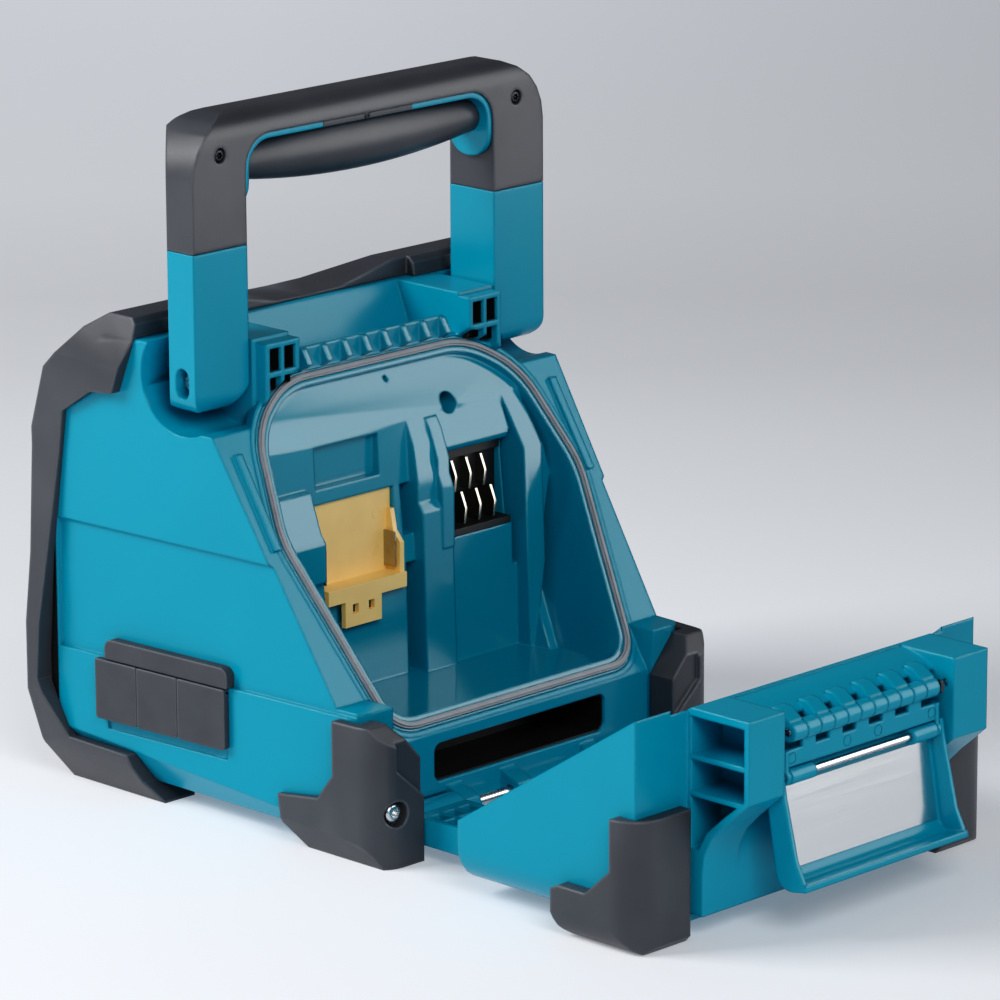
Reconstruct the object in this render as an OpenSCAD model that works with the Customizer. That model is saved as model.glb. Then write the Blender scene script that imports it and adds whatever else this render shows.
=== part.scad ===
// Jobsite speaker with a let-down battery door, a folding carry handle and an
// over-centre door latch. Drawn with the door lying open and the handle up.
// Working axes: X to the side that carries the sockets, Y to the battery door,
// Z up. The speaker front faces -Y.

/* [Housing] */
// Width of the housing at its front edge
housing_w = 219.4; // [210:0.2:230]
// Angle by which each side narrows towards the back
side_taper = 3.5; // [2:0.1:5]
// Height of the top deck
deck_h = 205; // [202:0.5:208]
// Height of the ridge where the sloped back begins
ridge_h = 169.5; // [168:0.5:171]
// Distance of the ridge behind the working origin
ridge_y = 2.3; // [1:0.1:4]
// Angle of the sloped back from upright
slope_angle = 32.4; // [31.5:0.1:33.2]
// Front edge of the housing, ahead of the working origin
front_depth = 92; // [88:0.5:96]
// Back face of the housing below the bay
back_depth = 81; // [80:0.5:82]
// Clear height under the housing
bottom_h = 8; // [6:0.5:9]
// Moulded wall thickness
wall = 3; // [2:0.1:4]
// Depth of the recessed band on each side
band_d = 2; // [1:0.1:3]

/* [Battery bay] */
// Height of the bay floor
bay_floor_h = 47; // [46:0.5:49]
// Back wall of the bay
bay_back_y = 12; // [11:0.5:13]
// Width of the sealing gasket
gasket_w = 2.8; // [2.2:0.1:4.5]
// Height of the gasket above its seat
gasket_rise = 1.6; // [1.2:0.1:2]
// Height of the gasket's seat above the slope
rim_h = 0.4; // [0.2:0.1:1.4]

/* [Bumpers] */
// Thickness of the front bumper at the sides
bumper_t = 8.3; // [6:0.1:10]
// Depth of the front bumper ahead of the housing
bumper_front = 11; // [9:0.5:13]
// Thickness of the rear bumpers at the sides
rear_bumper_t = 5; // [3:0.1:6]
// Gap between pieces that seat on each other
seat_gap = 0.2; // [0.1:0.05:0.3]

/* [Handle] */
// Overall height with the handle up
handle_top_h = 303; // [295:1:310]
// Width of each handle arm
arm_w = 30.8; // [28:0.2:32]
// Depth of the handle
arm_d = 27; // [24:0.5:28]
// Drop of the handle pivot below the deck
pivot_drop = 15; // [14:0.5:16]
// Pivot distance ahead of the working origin
pivot_back = 14; // [13:0.5:15]
// Radius of the pivot pins
pivot_r = 4; // [3:0.1:4.5]
// Height where the bare arms meet the soft cover
cover_h = 246; // [235:1:252]
// Running clearance round pins
run_gap = 0.06; // [0.03:0.01:0.1]

/* [Battery door] */
// Back plane of the closed door and rear feet
door_back = 100; // [99:0.5:102]
// Height of the door hinge pin
hinge_h = 12.75; // [12:0.25:13.5]
// Radius of the door hinge pin
hinge_r = 2.5; // [2:0.1:3]
// Door wall thickness
door_wall = 2.6; // [2:0.1:3.2]
// Half width between the latch blocks
latch_half = 51; // [48:0.5:53]
// Distance from the latch hinge to the lever rod
link_l = 18.4; // [17:0.2:19]
// Radius of the latch knuckles
knuckle_r = 4.2; // [3.6:0.1:4.4]
// Angle at which the free lever hangs
lever_hang = 10; // [6:1:14]

/* [Front] */
// Diameter of the woofer
woofer_d = 102; // [90:1:108]
// Diameter of each tweeter
tweeter_d = 36; // [30:1:40]
// Diameter of the control buttons
button_d = 13; // [10:0.5:15]
// Travel of the control buttons
button_travel = 1.2; // [0.8:0.1:1.5]
// Diameter of the grille holes
grille_hole = 10; // [8:0.5:11]
// Spacing of the grille holes
grille_pitch = 14; // [13:0.5:16]
// Depth of the bevel along the top front edge
brow_d = 34; // [32:0.5:36]

/* [Hidden] */
$fn = 48;

teal = "#00879f";
soft_grey = "#46474b";
black = "#1c1c1e";
steel = "#b9bcc0";
seal_grey = "#a5a5ac";
amber = "#ebc568";
big = 400;

// Lines that several pieces share
front_y = -front_depth;
face_y = front_y - bumper_front;
function side_x(y) = housing_w / 2 - (y + 100) * tan(side_taper);
function slope_y(z) = ridge_y + (ridge_h - z) * tan(slope_angle);

// Handle lines
pivot_h = deck_h - pivot_drop;
pivot_y = -pivot_back;
arm_out = side_x(pivot_y);
arm_in = arm_out - arm_w;
arm_back_y = pivot_y + 8;
arm_front_y = arm_back_y - arm_d;
arm_end_d = 13.5;

// Door lines, for the closed door
hinge_y = door_back - hinge_h;
door_half = side_x(ridge_y) - 0.4;
door_gap = 1.2;
narrow_half = 76;
wide_low_h = 71;
door_top_h = ridge_h + 0.5;
block_top_h = deck_h - 2;
block_half = arm_in - 0.9;
shelf_h = block_top_h - 24.5;
panel_y = door_back - 6.2;
door_round = 17;
latch_y = 15;
latch_h = block_top_h - 5.2;
rod_y = latch_y + link_l;
lever_half = latch_half - 1;
lever_tip_y = -12.4;
lever_low_h = latch_h + knuckle_r + 0.9;
lever_t = 2.2;
lever_round = 8;
lip_h = latch_h - 7.8;
lip_t = 2.8;
rod_r = 1.6;

// Rest frame: midway between the front face and the hanging lever's lip
lip_reach = latch_h - lip_h;
tip_len = rod_y - lever_tip_y;
rod_open_y = hinge_y + latch_h - hinge_h;
rest_back = rod_open_y + lip_reach * cos(lever_hang) + tip_len * sin(lever_hang);
frame_y = (rest_back + face_y) / 2;

// Helpers: extrude a flat outline along one axis, and repeat it on both sides
module along_x(x0, x1) {
  translate([x0, 0, 0]) rotate([90, 0, 90]) linear_extrude(x1 - x0) children();
}
module along_y(y0, y1) {
  translate([0, y1, 0]) rotate([90, 0, 0]) linear_extrude(y1 - y0) children();
}
module along_z(z0, z1) {
  translate([0, 0, z0]) linear_extrude(z1 - z0) children();
}
module box(low, high) {
  translate(low) cube(high - low);
}
module both_sides() {
  children();
  mirror([1, 0, 0]) children();
}
module rod_x(x0, x1, y, z, r) {
  translate([x0, y, z]) rotate([0, 90, 0]) cylinder(h = x1 - x0, r = r);
}
module rod_y(y0, y1, x, z, r1, r2 = -1) {
  translate([x, y1, z]) rotate([90, 0, 0]) cylinder(h = y1 - y0, r1 = r2 < 0 ? r1 : r2, r2 = r1);
}
// Down-slope frame: local Y runs down the slope, local Z points out of it
module on_slope() {
  translate([0, ridge_y, ridge_h]) rotate([slope_angle - 90, 0, 0]) children();
}
// Frame of the side that carries the sockets: local X points out of it
module on_side() {
  translate([side_x(0), 0, 0]) rotate([0, 0, side_taper]) children();
}
module in_frame() {
  translate([0, -frame_y, 0]) children();
}
// The door's pieces are drawn closed and let down about the hinge pin
module let_down() {
  translate([0, hinge_y, hinge_h]) rotate([-90, 0, 0]) translate([0, -hinge_y, -hinge_h]) children();
}
// The lever is drawn latched and swung back about its rod to where it hangs
module swung_back() {
  translate([0, rod_y, latch_h]) rotate([180 + lever_hang, 0, 0]) translate([0, -rod_y, -latch_h])
    children();
}

// Rounded outline: an arc at every corner of a convex outline drawn counter-clockwise
function unit(v) = v / norm(v);
function corner_arc(a, b, c, r, n = 6) =
  let (u = unit(a - b), w = unit(c - b), half = acos(u * w) / 2,
       mid = b + unit(u + w) * r / sin(half),
       from = atan2((b + u * r / tan(half) - mid).y, (b + u * r / tan(half) - mid).x),
       turn = 180 - 2 * half)
  [for (i = [0:n]) mid + r * [cos(from + turn * i / n), sin(from + turn * i / n)]];
function rounded(p, r) =
  let (n = len(p))
  [for (i = [0:n - 1]) each corner_arc(p[(i + n - 1) % n], p[i], p[(i + 1) % n], r[i])];
// Convex outline moved inwards by d
function inset(p, d) =
  let (n = len(p))
  [for (i = [0:n - 1])
    let (u = unit(p[i] - p[(i + n - 1) % n]), w = unit(p[(i + 1) % n] - p[i]),
         m = [-u.y, u.x], k = [-w.y, w.x])
    p[i] + (m + k) * d / (1 + m * k)];
// Outline made whole from its right half, listed upwards
function whole(half) =
  concat(half, [for (i = [len(half) - 1:-1:0]) [-half[i].x, half[i].y]]);

// Outline of the seal on the slope: across, and down the slope from the ridge
seal_path = whole([[73, -141], [90, -50], [79, -1.5], [54, 16.3]]);
seal_round = [16, 40, 38, 40, 40, 38, 40, 16];
function seal_line(d) = rounded(inset(seal_path, d), [for (r = seal_round) r - d * 0.7]);
gasket_h = rim_h + gasket_rise;
rim_edge = -5;
frame_edge = -2.6;
rail_x = [92.5, 96.5];
rail_h = 1.8;
module seal_prism(d, z0, z1) {
  on_slope() mirror([0, 1, 0]) along_z(z0, z1) polygon(seal_line(d));
}

// Housing
module plan(d, y0, y1) {
  polygon([[side_x(y0) - d, y0], [side_x(y1) - d, y1], [d - side_x(y1), y1], [d - side_x(y0), y0]]);
}
front_half = [[side_x(front_y) - 13, bottom_h], [side_x(front_y), 27],
  [side_x(front_y), deck_h - 4], [side_x(front_y) - 4, deck_h]];
brow_h = deck_h - brow_d * 0.76;
baffle_top = brow_h - 7;
baffle_half = [[side_x(front_y) - 13, bottom_h], [side_x(front_y), 27], [side_x(front_y), baffle_top]];
foot_shelf_h = 64;
foot_back_y = back_depth + 3;
foot_round = 9;
module housing_plan() {
  front = [side_x(front_y), front_y];
  back = [side_x(foot_back_y), foot_back_y];
  half = concat([front], corner_arc(front, back, [0, foot_back_y], foot_round));
  polygon(whole(half));
}
module housing_body() {
  intersection() {
    union() {
      along_x(-big, big) polygon([[front_y, bottom_h], [back_depth, bottom_h],
        [back_depth, ridge_h - (back_depth - ridge_y) / tan(slope_angle)],
        [ridge_y, ridge_h], [ridge_y - 8, ridge_h], [ridge_y - 8, deck_h], [front_y + brow_d, deck_h],
        [front_y, brow_h]]);
      both_sides() box([narrow_half + 3, 40, bottom_h], [big, foot_back_y, foot_shelf_h]);
    }
    along_z(0, big) housing_plan();
    along_y(-big, big) polygon(whole(front_half));
  }
}
rim_top_h = ridge_h + 16.5;
keeper_y = -9.2;
keeper_t = 2.2;
keeper_top_h = deck_h - 9;
keeper_half = latch_half - 8;
module top_centre() {
  // Middle of the back, carried up the slope behind the seal
  intersection() {
    along_x(-arm_in, arm_in) polygon([[keeper_y, ridge_h - 8], [slope_y(ridge_h - 8), ridge_h - 8],
      [slope_y(rim_top_h), rim_top_h], [keeper_y, rim_top_h]]);
    seal_prism(rim_edge, -60, rim_h);
  }
  // Cored-out blocks that carry the handle pivots
  both_sides() difference() {
    box([latch_half, -44, ridge_h - 6], [arm_in - 3.2, 1, block_top_h + 0.5]);
    for (x = [0, 1], z = [0, 1])
      translate([latch_half + 2.2 + x * 8.4, pivot_y + pivot_r + 1.2,
          deck_h - 26.6 + z * 12.6]) cube([6.6, big, 10.2]);
    seal_prism(frame_edge - 0.4, rim_h - 1, 40);
  }
}
gussets = 8;
gusset_t = 3;
module keeper() {
  // Wall that the latch hooks, with gussets that stand clear of the seal
  box([-keeper_half, keeper_y, ridge_h], [keeper_half, keeper_y + keeper_t, keeper_top_h]);
  difference() {
    for (i = [0:gussets - 1])
      translate([(i - (gussets - 1) / 2) * (2 * keeper_half - gusset_t) / (gussets - 1), 0, 0])
        along_x(-gusset_t / 2, gusset_t / 2) polygon([[keeper_y + 1, ridge_h], [keeper_y + 8.2, ridge_h],
          [keeper_y + 7.6, keeper_top_h - 7.4], [keeper_y + 3.4, keeper_top_h - 0.4],
          [keeper_y + 1, keeper_top_h - 0.4]]);
    seal_prism(frame_edge - 0.2, rim_h - 1, 60);
  }
}
pocket_r = 24.2;
pocket_z = pivot_h + 1.5;
module handle_pocket() {
  rod_x(arm_in - 1.6, big, pivot_y, pocket_z, pocket_r);
  box([arm_in - 1.6, pivot_y, ridge_h], [big, 120, big]);
  intersection() {
    box([arm_in - 1.6, -80, pocket_z - 6], [big, 60, big]);
    translate([arm_out, -31, deck_h + 1]) rotate([-16, 0, 16.7]) translate([-big / 2, 0, -big / 2])
      cube(big);
  }
}
module valley() {
  along_x(-latch_half, latch_half) polygon([[keeper_y, ridge_h + 4], [keeper_y, big], [-43.6, big],
    [-43.6, deck_h - 1.5], [-36, 184], [-34, ridge_h + 4]]);
  box([-latch_half, keeper_y - 0.1, rim_top_h], [latch_half, 40, big]);
}
module speaker_cavity() {
  intersection() {
    along_x(-big, big) polygon([[front_y - 1, bottom_h + wall], [45, bottom_h + wall], [45, bay_floor_h - 4],
      [bay_back_y - 15, bay_floor_h - 4], [bay_back_y - 15, 128], [bay_back_y - 18, bay_head_h - 1],
      [bay_back_y - 20, ridge_h - 6], [-47, ridge_h - 6], [-47, deck_h - wall], [front_y + brow_d + 2,
          deck_h - wall],
      [front_y - 1, brow_h - wall - 2]]);
    along_z(0, big) plan(wall, front_y - 1, 60);
    along_y(-big, big) polygon(inset(whole(front_half), wall));
  }
}
bay_head_h = ridge_h - 9.5;
bay_half = [[68, bay_floor_h], [84, 122], [74, bay_head_h - 2], [60, bay_head_h - 2]];
panel_d = 3.6;
slot_top_h = 130.5;
stick_top_h = bay_head_h - 19;
stick_low_h = 103;
module bay_space() {
  intersection() {
    along_x(-big, big) polygon([[bay_back_y, bay_floor_h], [120, bay_floor_h], [120, rim_top_h + 14],
      [slope_y(rim_top_h + 4) - panel_d, rim_top_h + 4], [slope_y(ridge_h) - panel_d, ridge_h],
      [slope_y(bay_head_h) - 3, bay_head_h],
      [bay_back_y - 5, slot_top_h + 0.5], [bay_back_y - 1, 92]]);
    union() {
      seal_prism(gasket_w / 2 + 2.5, -40, 60);
      along_y(-20, 70) polygon(whole(bay_half));
    }
    seal_prism(gasket_w / 2 + 2.5, -120, 60);
  }
}
divider_x = [-25, -7];
slot_x = [2.5, 50];
stick_x = [-63, -27];
slot_back = bay_back_y - 9;
module pack_guides() {
  back = bay_back_y - 9;
  base = bay_floor_h - 1;
  // Divider between the two battery slots, with a slanted stepped head
  along_x(divider_x[0], divider_x[1]) polygon([[back, base], [bay_back_y + 6, base], [bay_back_y + 4, 118],
    [bay_back_y + 1, 122], [bay_back_y + 1, 130], [bay_back_y - 2, bay_head_h - 13],
    [slope_y(bay_head_h) - 4, bay_head_h], [back, bay_head_h]]);
  along_x(divider_x[0], divider_x[0] + 7) polygon([[back, 100], [bay_back_y + 5, 100], [bay_back_y + 5, 126],
    [bay_back_y + 2, 133], [bay_back_y + 2, 139], [bay_back_y - 4, bay_head_h - 4], [back, bay_head_h - 2]]);
  // Slanted hood over the stick pack's terminal
  along_x(stick_x[0] - 2, divider_x[0] + 1) polygon([[back, stick_top_h], [bay_back_y - 1, stick_top_h],
    [bay_back_y, stick_top_h + 2.4], [slope_y(bay_head_h) - 4, bay_head_h - 1], [back, bay_head_h - 1]]);
  // Columns at the outer ends of the slots
  along_x(slot_x[1] + 1, 86) polygon([[back + 7, base], [bay_back_y + 5, base], [bay_back_y + 3, 110],
    [bay_back_y, 122], [bay_back_y - 6, slot_top_h]]);
  along_x(slot_x[1] + 4, 86) polygon([[back, 100], [bay_back_y + 7, 100], [bay_back_y + 7, 117],
    [bay_back_y + 4, 121], [bay_back_y - 2, slot_top_h + 7], [back, slot_top_h + 8]]);
  along_x(-90, stick_x[0] - 3) polygon([[back + 7, 92], [bay_back_y + 5, 100], [bay_back_y + 4, 134],
    [bay_back_y - 2, bay_head_h - 10], [back, bay_head_h - 6]]);
  along_x(stick_x[0] - 14, stick_x[0] - 3) polygon([[back, base], [bay_back_y + 11, base],
    [bay_back_y + 7, 141], [bay_back_y + 3, bay_head_h - 11], [slope_y(bay_head_h) - 4, bay_head_h],
        [back, bay_head_h]]);
  // Wall under the stick pack's terminal
  along_x(stick_x[0] - 4, divider_x[0] + 1) polygon([[back, base], [bay_back_y + 3, base],
    [bay_back_y + 2, stick_low_h - 0.2], [back, stick_low_h - 0.2]]);
}
module terminal_recesses() {
  box([slot_x[0], slot_back, 87], [slot_x[1], 60, slot_top_h]);
  box([17.8, slot_back + 6, 75.6], [40.2, 60, 88]);
  box([10, slot_back - 1, bay_head_h - 23], [48, 30, bay_head_h - 5]);
  box([stick_x[0], slot_back - 2, stick_low_h], [stick_x[1], 60, stick_top_h]);
  rod_y(-7, 30, -34, bay_head_h + 0.4, 4.5);
  rod_y(-7, 30, -5, ridge_h + 5.2, 1.2);
  // Deep slits beside the terminals, for the packs' guide ribs
  box([divider_x[1], slot_back - 3, bay_floor_h], [slot_x[0] - 4, 30, 96]);
  box([divider_x[1], slot_back - 3, 108], [slot_x[0] - 4, 30, slot_top_h]);
  box([slot_x[1], slot_back - 2, 78], [slot_x[1] + 2.2, 30, 112]);
  box([stick_x[0] - 3, slot_back - 2, 84], [stick_x[0] - 0.6, 30, stick_top_h + 3]);
  box([stick_x[1] + 0.2, slot_back - 2, 86], [stick_x[1] + 1.4, 30, stick_low_h]);
}
band_z = [62, 120];
port_y = [-66, 9];
port_z = [36, 61];
port_d = 13;
lug_x = [[4, 13], [36, 45], [-45, -36]];
low_slot = [[-52, 24], [52, 24], [52, 41], [-52, 41]];
bay_wall = 3.8;
module bay_zone(gap) {
  // Space of the bay frame: the sealed tub and the latch keeper on its upper edge
  intersection() {
    along_x(-big, big) polygon([[-30, bay_floor_h - bay_wall - gap], [200,
        bay_floor_h - bay_wall - gap], [200, big],
      [keeper_y - gap, big], [keeper_y - gap, ridge_h - 6.1], [-30, ridge_h - 6.1]]);
    union() {
      seal_prism(frame_edge - gap, -120, 20);
      box([-keeper_half - gap, keeper_y - gap, rim_top_h - 4], [keeper_half + gap, 0, big]);
    }
  }
}
module bay_frame() {
  color(teal) intersection() {
    back_moulding();
    bay_zone(0);
  }
}
module rear_housing() {
  color(teal) difference() {
    back_moulding();
    bay_zone(seat_gap);
  }
}
module back_moulding() {
  difference() {
    union() {
      difference() {
        union() {
          difference() {
            housing_body();
            both_sides() handle_pocket();
            valley();
          }
          top_centre();
          keeper();
          seal_prism(rim_edge, rim_h - 6.4, rim_h);
        }
        speaker_cavity();
        bay_space();
      }
      intersection() {
        pack_guides();
        along_x(-big, big) polygon([[0, 0], [slope_y(40) - 4, 40], [slope_y(170) - 4, 170], [0, 170]]);
        along_y(-20, 70) polygon(inset(whole(bay_half), -1));
      }
      for (x = lug_x) along_x(x[0], x[1]) polygon([[back_depth - 1, bottom_h], [hinge_y, hinge_h - 6.5],
        [hinge_y + 5, hinge_h - 4], [hinge_y + 6.5, hinge_h], [hinge_y + 4.6, hinge_h + 4.6],
        [hinge_y, hinge_h + 6.5], [back_depth - 1, hinge_h + 9]]);
      both_sides() translate([60, -30, 0]) along_z(bottom_h, bottom_h + 10) circle(d = 9);
      both_sides() translate([60, 20, 0]) along_z(bottom_h, bottom_h + 10) circle(d = 9);
      // Rails that stiffen the sloped frame
      both_sides() on_slope() box([rail_x[0], 10, -2], [rail_x[1], 54, rail_h]);
    }
    terminal_recesses();
    // Groove that seats the gasket
    difference() {
      seal_prism(-gasket_w / 2 - 0.1, rim_h - 1.4, 20);
      seal_prism(gasket_w / 2 + 0.1, rim_h - 2, 21);
    }
    // Recessed band on each side
    both_sides() on_side() along_y(front_y + 1, 120) polygon([[-band_d, band_z[0]], [60, band_z[0]],
      [60, band_z[1] + 60], [0, band_z[1]], [-band_d, band_z[1] - 1.6]]);
    // Shallow step under the socket flaps
    on_side() box([-1.2, port_y[0] + 3.5, port_z[0] - 6], [20, port_y[1] - 0.5, port_z[0] + 1]);
    // Slot under the seal, the door's hinge arms and pin
    along_y(50, big) polygon(rounded(low_slot, [4, 4, 4, 4]));
    both_sides() rod_x(45, narrow_half + 1.2, hinge_y, hinge_h, 9);
    rod_x(-big, big, hinge_y, hinge_h, hinge_r + run_gap);
    both_sides() rod_x(latch_half + 4, big, pivot_y, pivot_h, pivot_r + run_gap);
    on_side() box([-port_d, port_y[0], port_z[0]], [20, port_y[1], port_z[1]]);
  }
}

// Front of the cabinet
window_half = [[94, 14], [101, 22], [101, baffle_top - 24], [84, baffle_top - 5]];
baffle_y = front_y - 4.6;
panel_z = [17, 42];
woofer_z = 106;
tweeter_at = [72, baffle_top - 27];
woofer_bore = woofer_d - 10;
module front_baffle() {
  color(black) difference() {
    along_y(baffle_y, front_y) polygon(inset(whole(baffle_half), 0.3));
    rod_y(-big, 0, 0, woofer_z, woofer_bore / 2);
    both_sides() rod_y(-big, 0, tweeter_at.x, tweeter_at.y, tweeter_d / 2 - 4);
    box([-92, -big, panel_z[0] - seat_gap], [92, baffle_y + 2.4, panel_z[1] + seat_gap]);
  }
}
module bumper_outline() {
  polygon(whole([[74, bottom_h + 0.3], [82, 0], [99, 0], [side_x(front_y), 16],
    [side_x(front_y) + bumper_t, 42], [side_x(front_y) + bumper_t, 72],
    [side_x(front_y) + bumper_t - 3.5, deck_h / 2], [side_x(front_y) + bumper_t - 6, deck_h - 55],
    [side_x(front_y) + bumper_t - 5.5, deck_h - 12], [side_x(front_y) - 5.5, deck_h + 8.5], [51,
        deck_h + 8.5],
    [19, deck_h + 1.5], [0, deck_h + 1]]));
}
module bumper_profile() {
  polygon([[face_y + 8, 0], [face_y, 18], [face_y, deck_h - 47], [face_y + 9, deck_h - 19],
      [face_y + 30, deck_h + 1],
    [face_y + 44, deck_h + 9], [face_y + 57, deck_h + 9], [face_y + 60, deck_h + 6], [face_y + 61,
        deck_h - 1],
    [face_y + 52, deck_h - 24], [face_y + 38, deck_h - 25.5], [face_y + 20, deck_h - 37],
    [face_y + 10.5, deck_h / 2], [face_y + 6, 47], [face_y + 19, 22.5], [face_y + 56, 21.7], [face_y + 59, 9],
    [face_y + 67, 0]]);
}
module front_bumper() {
  color(soft_grey) difference() {
    intersection() {
      along_x(-big, big) bumper_profile();
      along_y(-big, big) bumper_outline();
    }
    intersection() {
      along_x(-big, big) polygon([[baffle_y - seat_gap, 0], [100, 0], [100, deck_h + seat_gap],
        [front_y + brow_d, deck_h + seat_gap], [front_y - seat_gap, brow_h + seat_gap],
        [front_y - seat_gap, baffle_top + seat_gap], [baffle_y - seat_gap, baffle_top + seat_gap]]);
      along_z(bottom_h - 0.2, big) plan(-seat_gap, face_y, 100);
      along_y(-big, 100) polygon(inset(whole(front_half), -seat_gap));
    }
    along_y(-big, front_y) polygon(whole(window_half));
    // Bevel round the front window
    along_y(-big, face_y + 3) polygon(inset(whole(window_half), -3));
    box([-latch_half - 9, -47, 0], [latch_half + 9, 0, big]);
  }
}
rear_profile = [[52, 0], [door_back, 0], [door_back, 52], [door_back - 8, foot_shelf_h - 3],
  [73, foot_shelf_h - 3], [73, 37], [64, 25.6], [40, 22.5], [42, 10]];
rear_screw_at = [92, 23.5];
rear_round = 14;
rear_in = narrow_half + 1.2;
rear_panel_d = 2;
module rear_bumper() {
  color(soft_grey) difference() {
    intersection() {
      along_x(0, big) polygon(rear_profile);
      along_y(0, big) polygon([[rear_in, 0], [98, 0], [side_x(70) + rear_bumper_t, 12],
        [side_x(70) + rear_bumper_t, big], [91, big], [91, foot_shelf_h - 3.5],
        [rear_in, foot_shelf_h - 19]]);
      along_z(0, big) polygon(rounded([[70, 30], [side_x(30) + rear_bumper_t, 30],
        [side_x(door_back) + rear_bumper_t, door_back], [70, door_back]], [0.5, 0.5, rear_round, 0.5]));
    }
    intersection() {
      along_z(bottom_h - seat_gap, foot_shelf_h) plan(-seat_gap, -20, foot_back_y + seat_gap);
      along_y(-big, big) polygon(inset(whole(front_half), -seat_gap));
    }
    rod_y(door_back - 5, big, rear_screw_at.x, rear_screw_at.y, 5.6);
    rod_y(foot_back_y, big, rear_screw_at.x, rear_screw_at.y, 2.2);
    // Sunk panel on the back face, above the screw
    along_y(door_back - rear_panel_d, big) polygon([[60, 27.6], [76, 27.6], [92.3, 42], [92.3, big],
      [60, big]]);
  }
}
module rear_bumper_left() { rear_bumper(); }
module rear_bumper_right() { mirror([1, 0, 0]) rear_bumper(); }
module cap_screw(y, x, z, length, r = 4.6) {
  // Button head screw facing the back, with a socket in its head
  difference() {
    union() {
      rod_y(y, y + 3, x, z, r, r - 1.2);
      rod_y(y - length, y, x, z, 2);
    }
    rod_y(y + 1, y + 5, x, z, 2.2);
  }
}
module bumper_screws() {
  color(steel) both_sides()
    cap_screw(door_back - 5, rear_screw_at.x, rear_screw_at.y, door_back - 5 - foot_back_y - 0.3);
}
module grille_holes() {
  rows = floor((baffle_top - 72) / (grille_pitch * 0.866));
  for (j = [0:rows], i = [-8:8]) {
    x = (i + (j % 2) / 2) * grille_pitch;
    z = 55 + j * grille_pitch * 0.866;
    if (abs(x) < 89 - max(0, z - baffle_top + 34) * 0.9) translate([x, z]) circle(d = grille_hole, $fn = 6);
  }
}
grille_half = [[97, 46], [97, baffle_top - 25], [81, baffle_top - 8]];
module speaker_grille() {
  color(black) {
    along_y(face_y + 3, face_y + 4.4) difference() {
      polygon(whole(grille_half));
      grille_holes();
    }
    along_y(face_y + 4.4, baffle_y) difference() {
      polygon(whole(grille_half));
      polygon(inset(whole(grille_half), 2.2));
    }
  }
}
module woofer_basket() {
  r = woofer_d / 2;
  color("#2c2d30") translate([0, front_y, woofer_z]) rotate([-90, 0, 0]) difference() {
    rotate_extrude() polygon([[r - 9, 0], [r + 1, 0], [r + 1, 3], [r - 4, 3], [30, 28], [30, 34], [16, 34],
      [16, 32], [28, 32], [28, 27], [r - 9, 3]]);
    for (a = [0:60:300]) rotate([0, 0, a + 30]) translate([r * 0.72, 0, 16]) cube([24, 20, 18],
        center = true);
  }
}
module woofer_cone() {
  r = woofer_d / 2 - 9.3;
  color("#26272a") translate([0, front_y, woofer_z]) rotate([-90, 0, 0]) rotate_extrude()
    polygon([[0, 12], [8, 14], [14, 18], [r - 9, 3], [r - 6, -0.6], [r - 3, -0.6], [r, 2.2], [r, 3],
      [r - 3, 1], [r - 6, 1], [r - 8, 4.4], [14.5, 20], [0, 20]]);
}
module woofer_magnet() {
  color(steel) rod_y(front_y + 34, front_y + 56, 0, woofer_z, 35);
}
module tweeters() {
  color("#2c2d30") both_sides() translate([tweeter_at.x, front_y, tweeter_at.y]) rotate([-90, 0, 0])
    rotate_extrude() polygon([[0, -2], [5, -1], [9, 1], [tweeter_d / 2 - 5, 0.5], [tweeter_d / 2 - 5, 0],
      [tweeter_d / 2, 0], [tweeter_d / 2, 3], [13, 3], [13, 16], [0, 16]]);
}

// Controls
button_x = [-64, -32, 0, 32, 64];
button_z = (panel_z[0] + panel_z[1]) / 2;
panel_front_y = baffle_y - 1;
module control_panel() {
  color(soft_grey) difference() {
    along_y(panel_front_y, baffle_y + 2.4) polygon(whole([[88, panel_z[0]], [91.8, panel_z[0] + 4],
      [91.8, panel_z[1] - 4], [88, panel_z[1]]]));
    for (x = button_x) rod_y(-big, 0, x, button_z, button_d / 2 + 0.35);
    rod_y(-big, 0, 82, button_z, 2.2);
  }
}
module button(x) {
  // Dished cap that stops short of the panel's seat by its travel
  color(black) translate([x, baffle_y + 2.4 - button_travel - 0.1, button_z]) rotate([90, 0, 0])
    rotate_extrude() polygon([[0, 0], [button_d / 2, 0], [button_d / 2, 4], [button_d / 2 - 0.8, 4.8],
      [button_d / 2 - 2, 4.8], [0, 4.2]]);
}
module power_button() { button(button_x[0]); }
module pairing_button() { button(button_x[1]); }
module play_button() { button(button_x[2]); }
module volume_down_button() { button(button_x[3]); }
module volume_up_button() { button(button_x[4]); }
module status_lens() {
  color("#d8e6ea") rod_y(panel_front_y, baffle_y + 2.4, 82, button_z, 2, 2);
}
module main_board() {
  color("#1f6b45") {
    box([-66, -36, bottom_h + 10], [66, 26, bottom_h + 11.6]);
    for (x = [-40, -22, 22, 40]) translate([x, 0, 0]) along_z(bottom_h + 11.6, bottom_h + 26) circle(d = 11);
    box([-12, -22, bottom_h + 11.6], [12, 6, bottom_h + 24]);
  }
}

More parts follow.
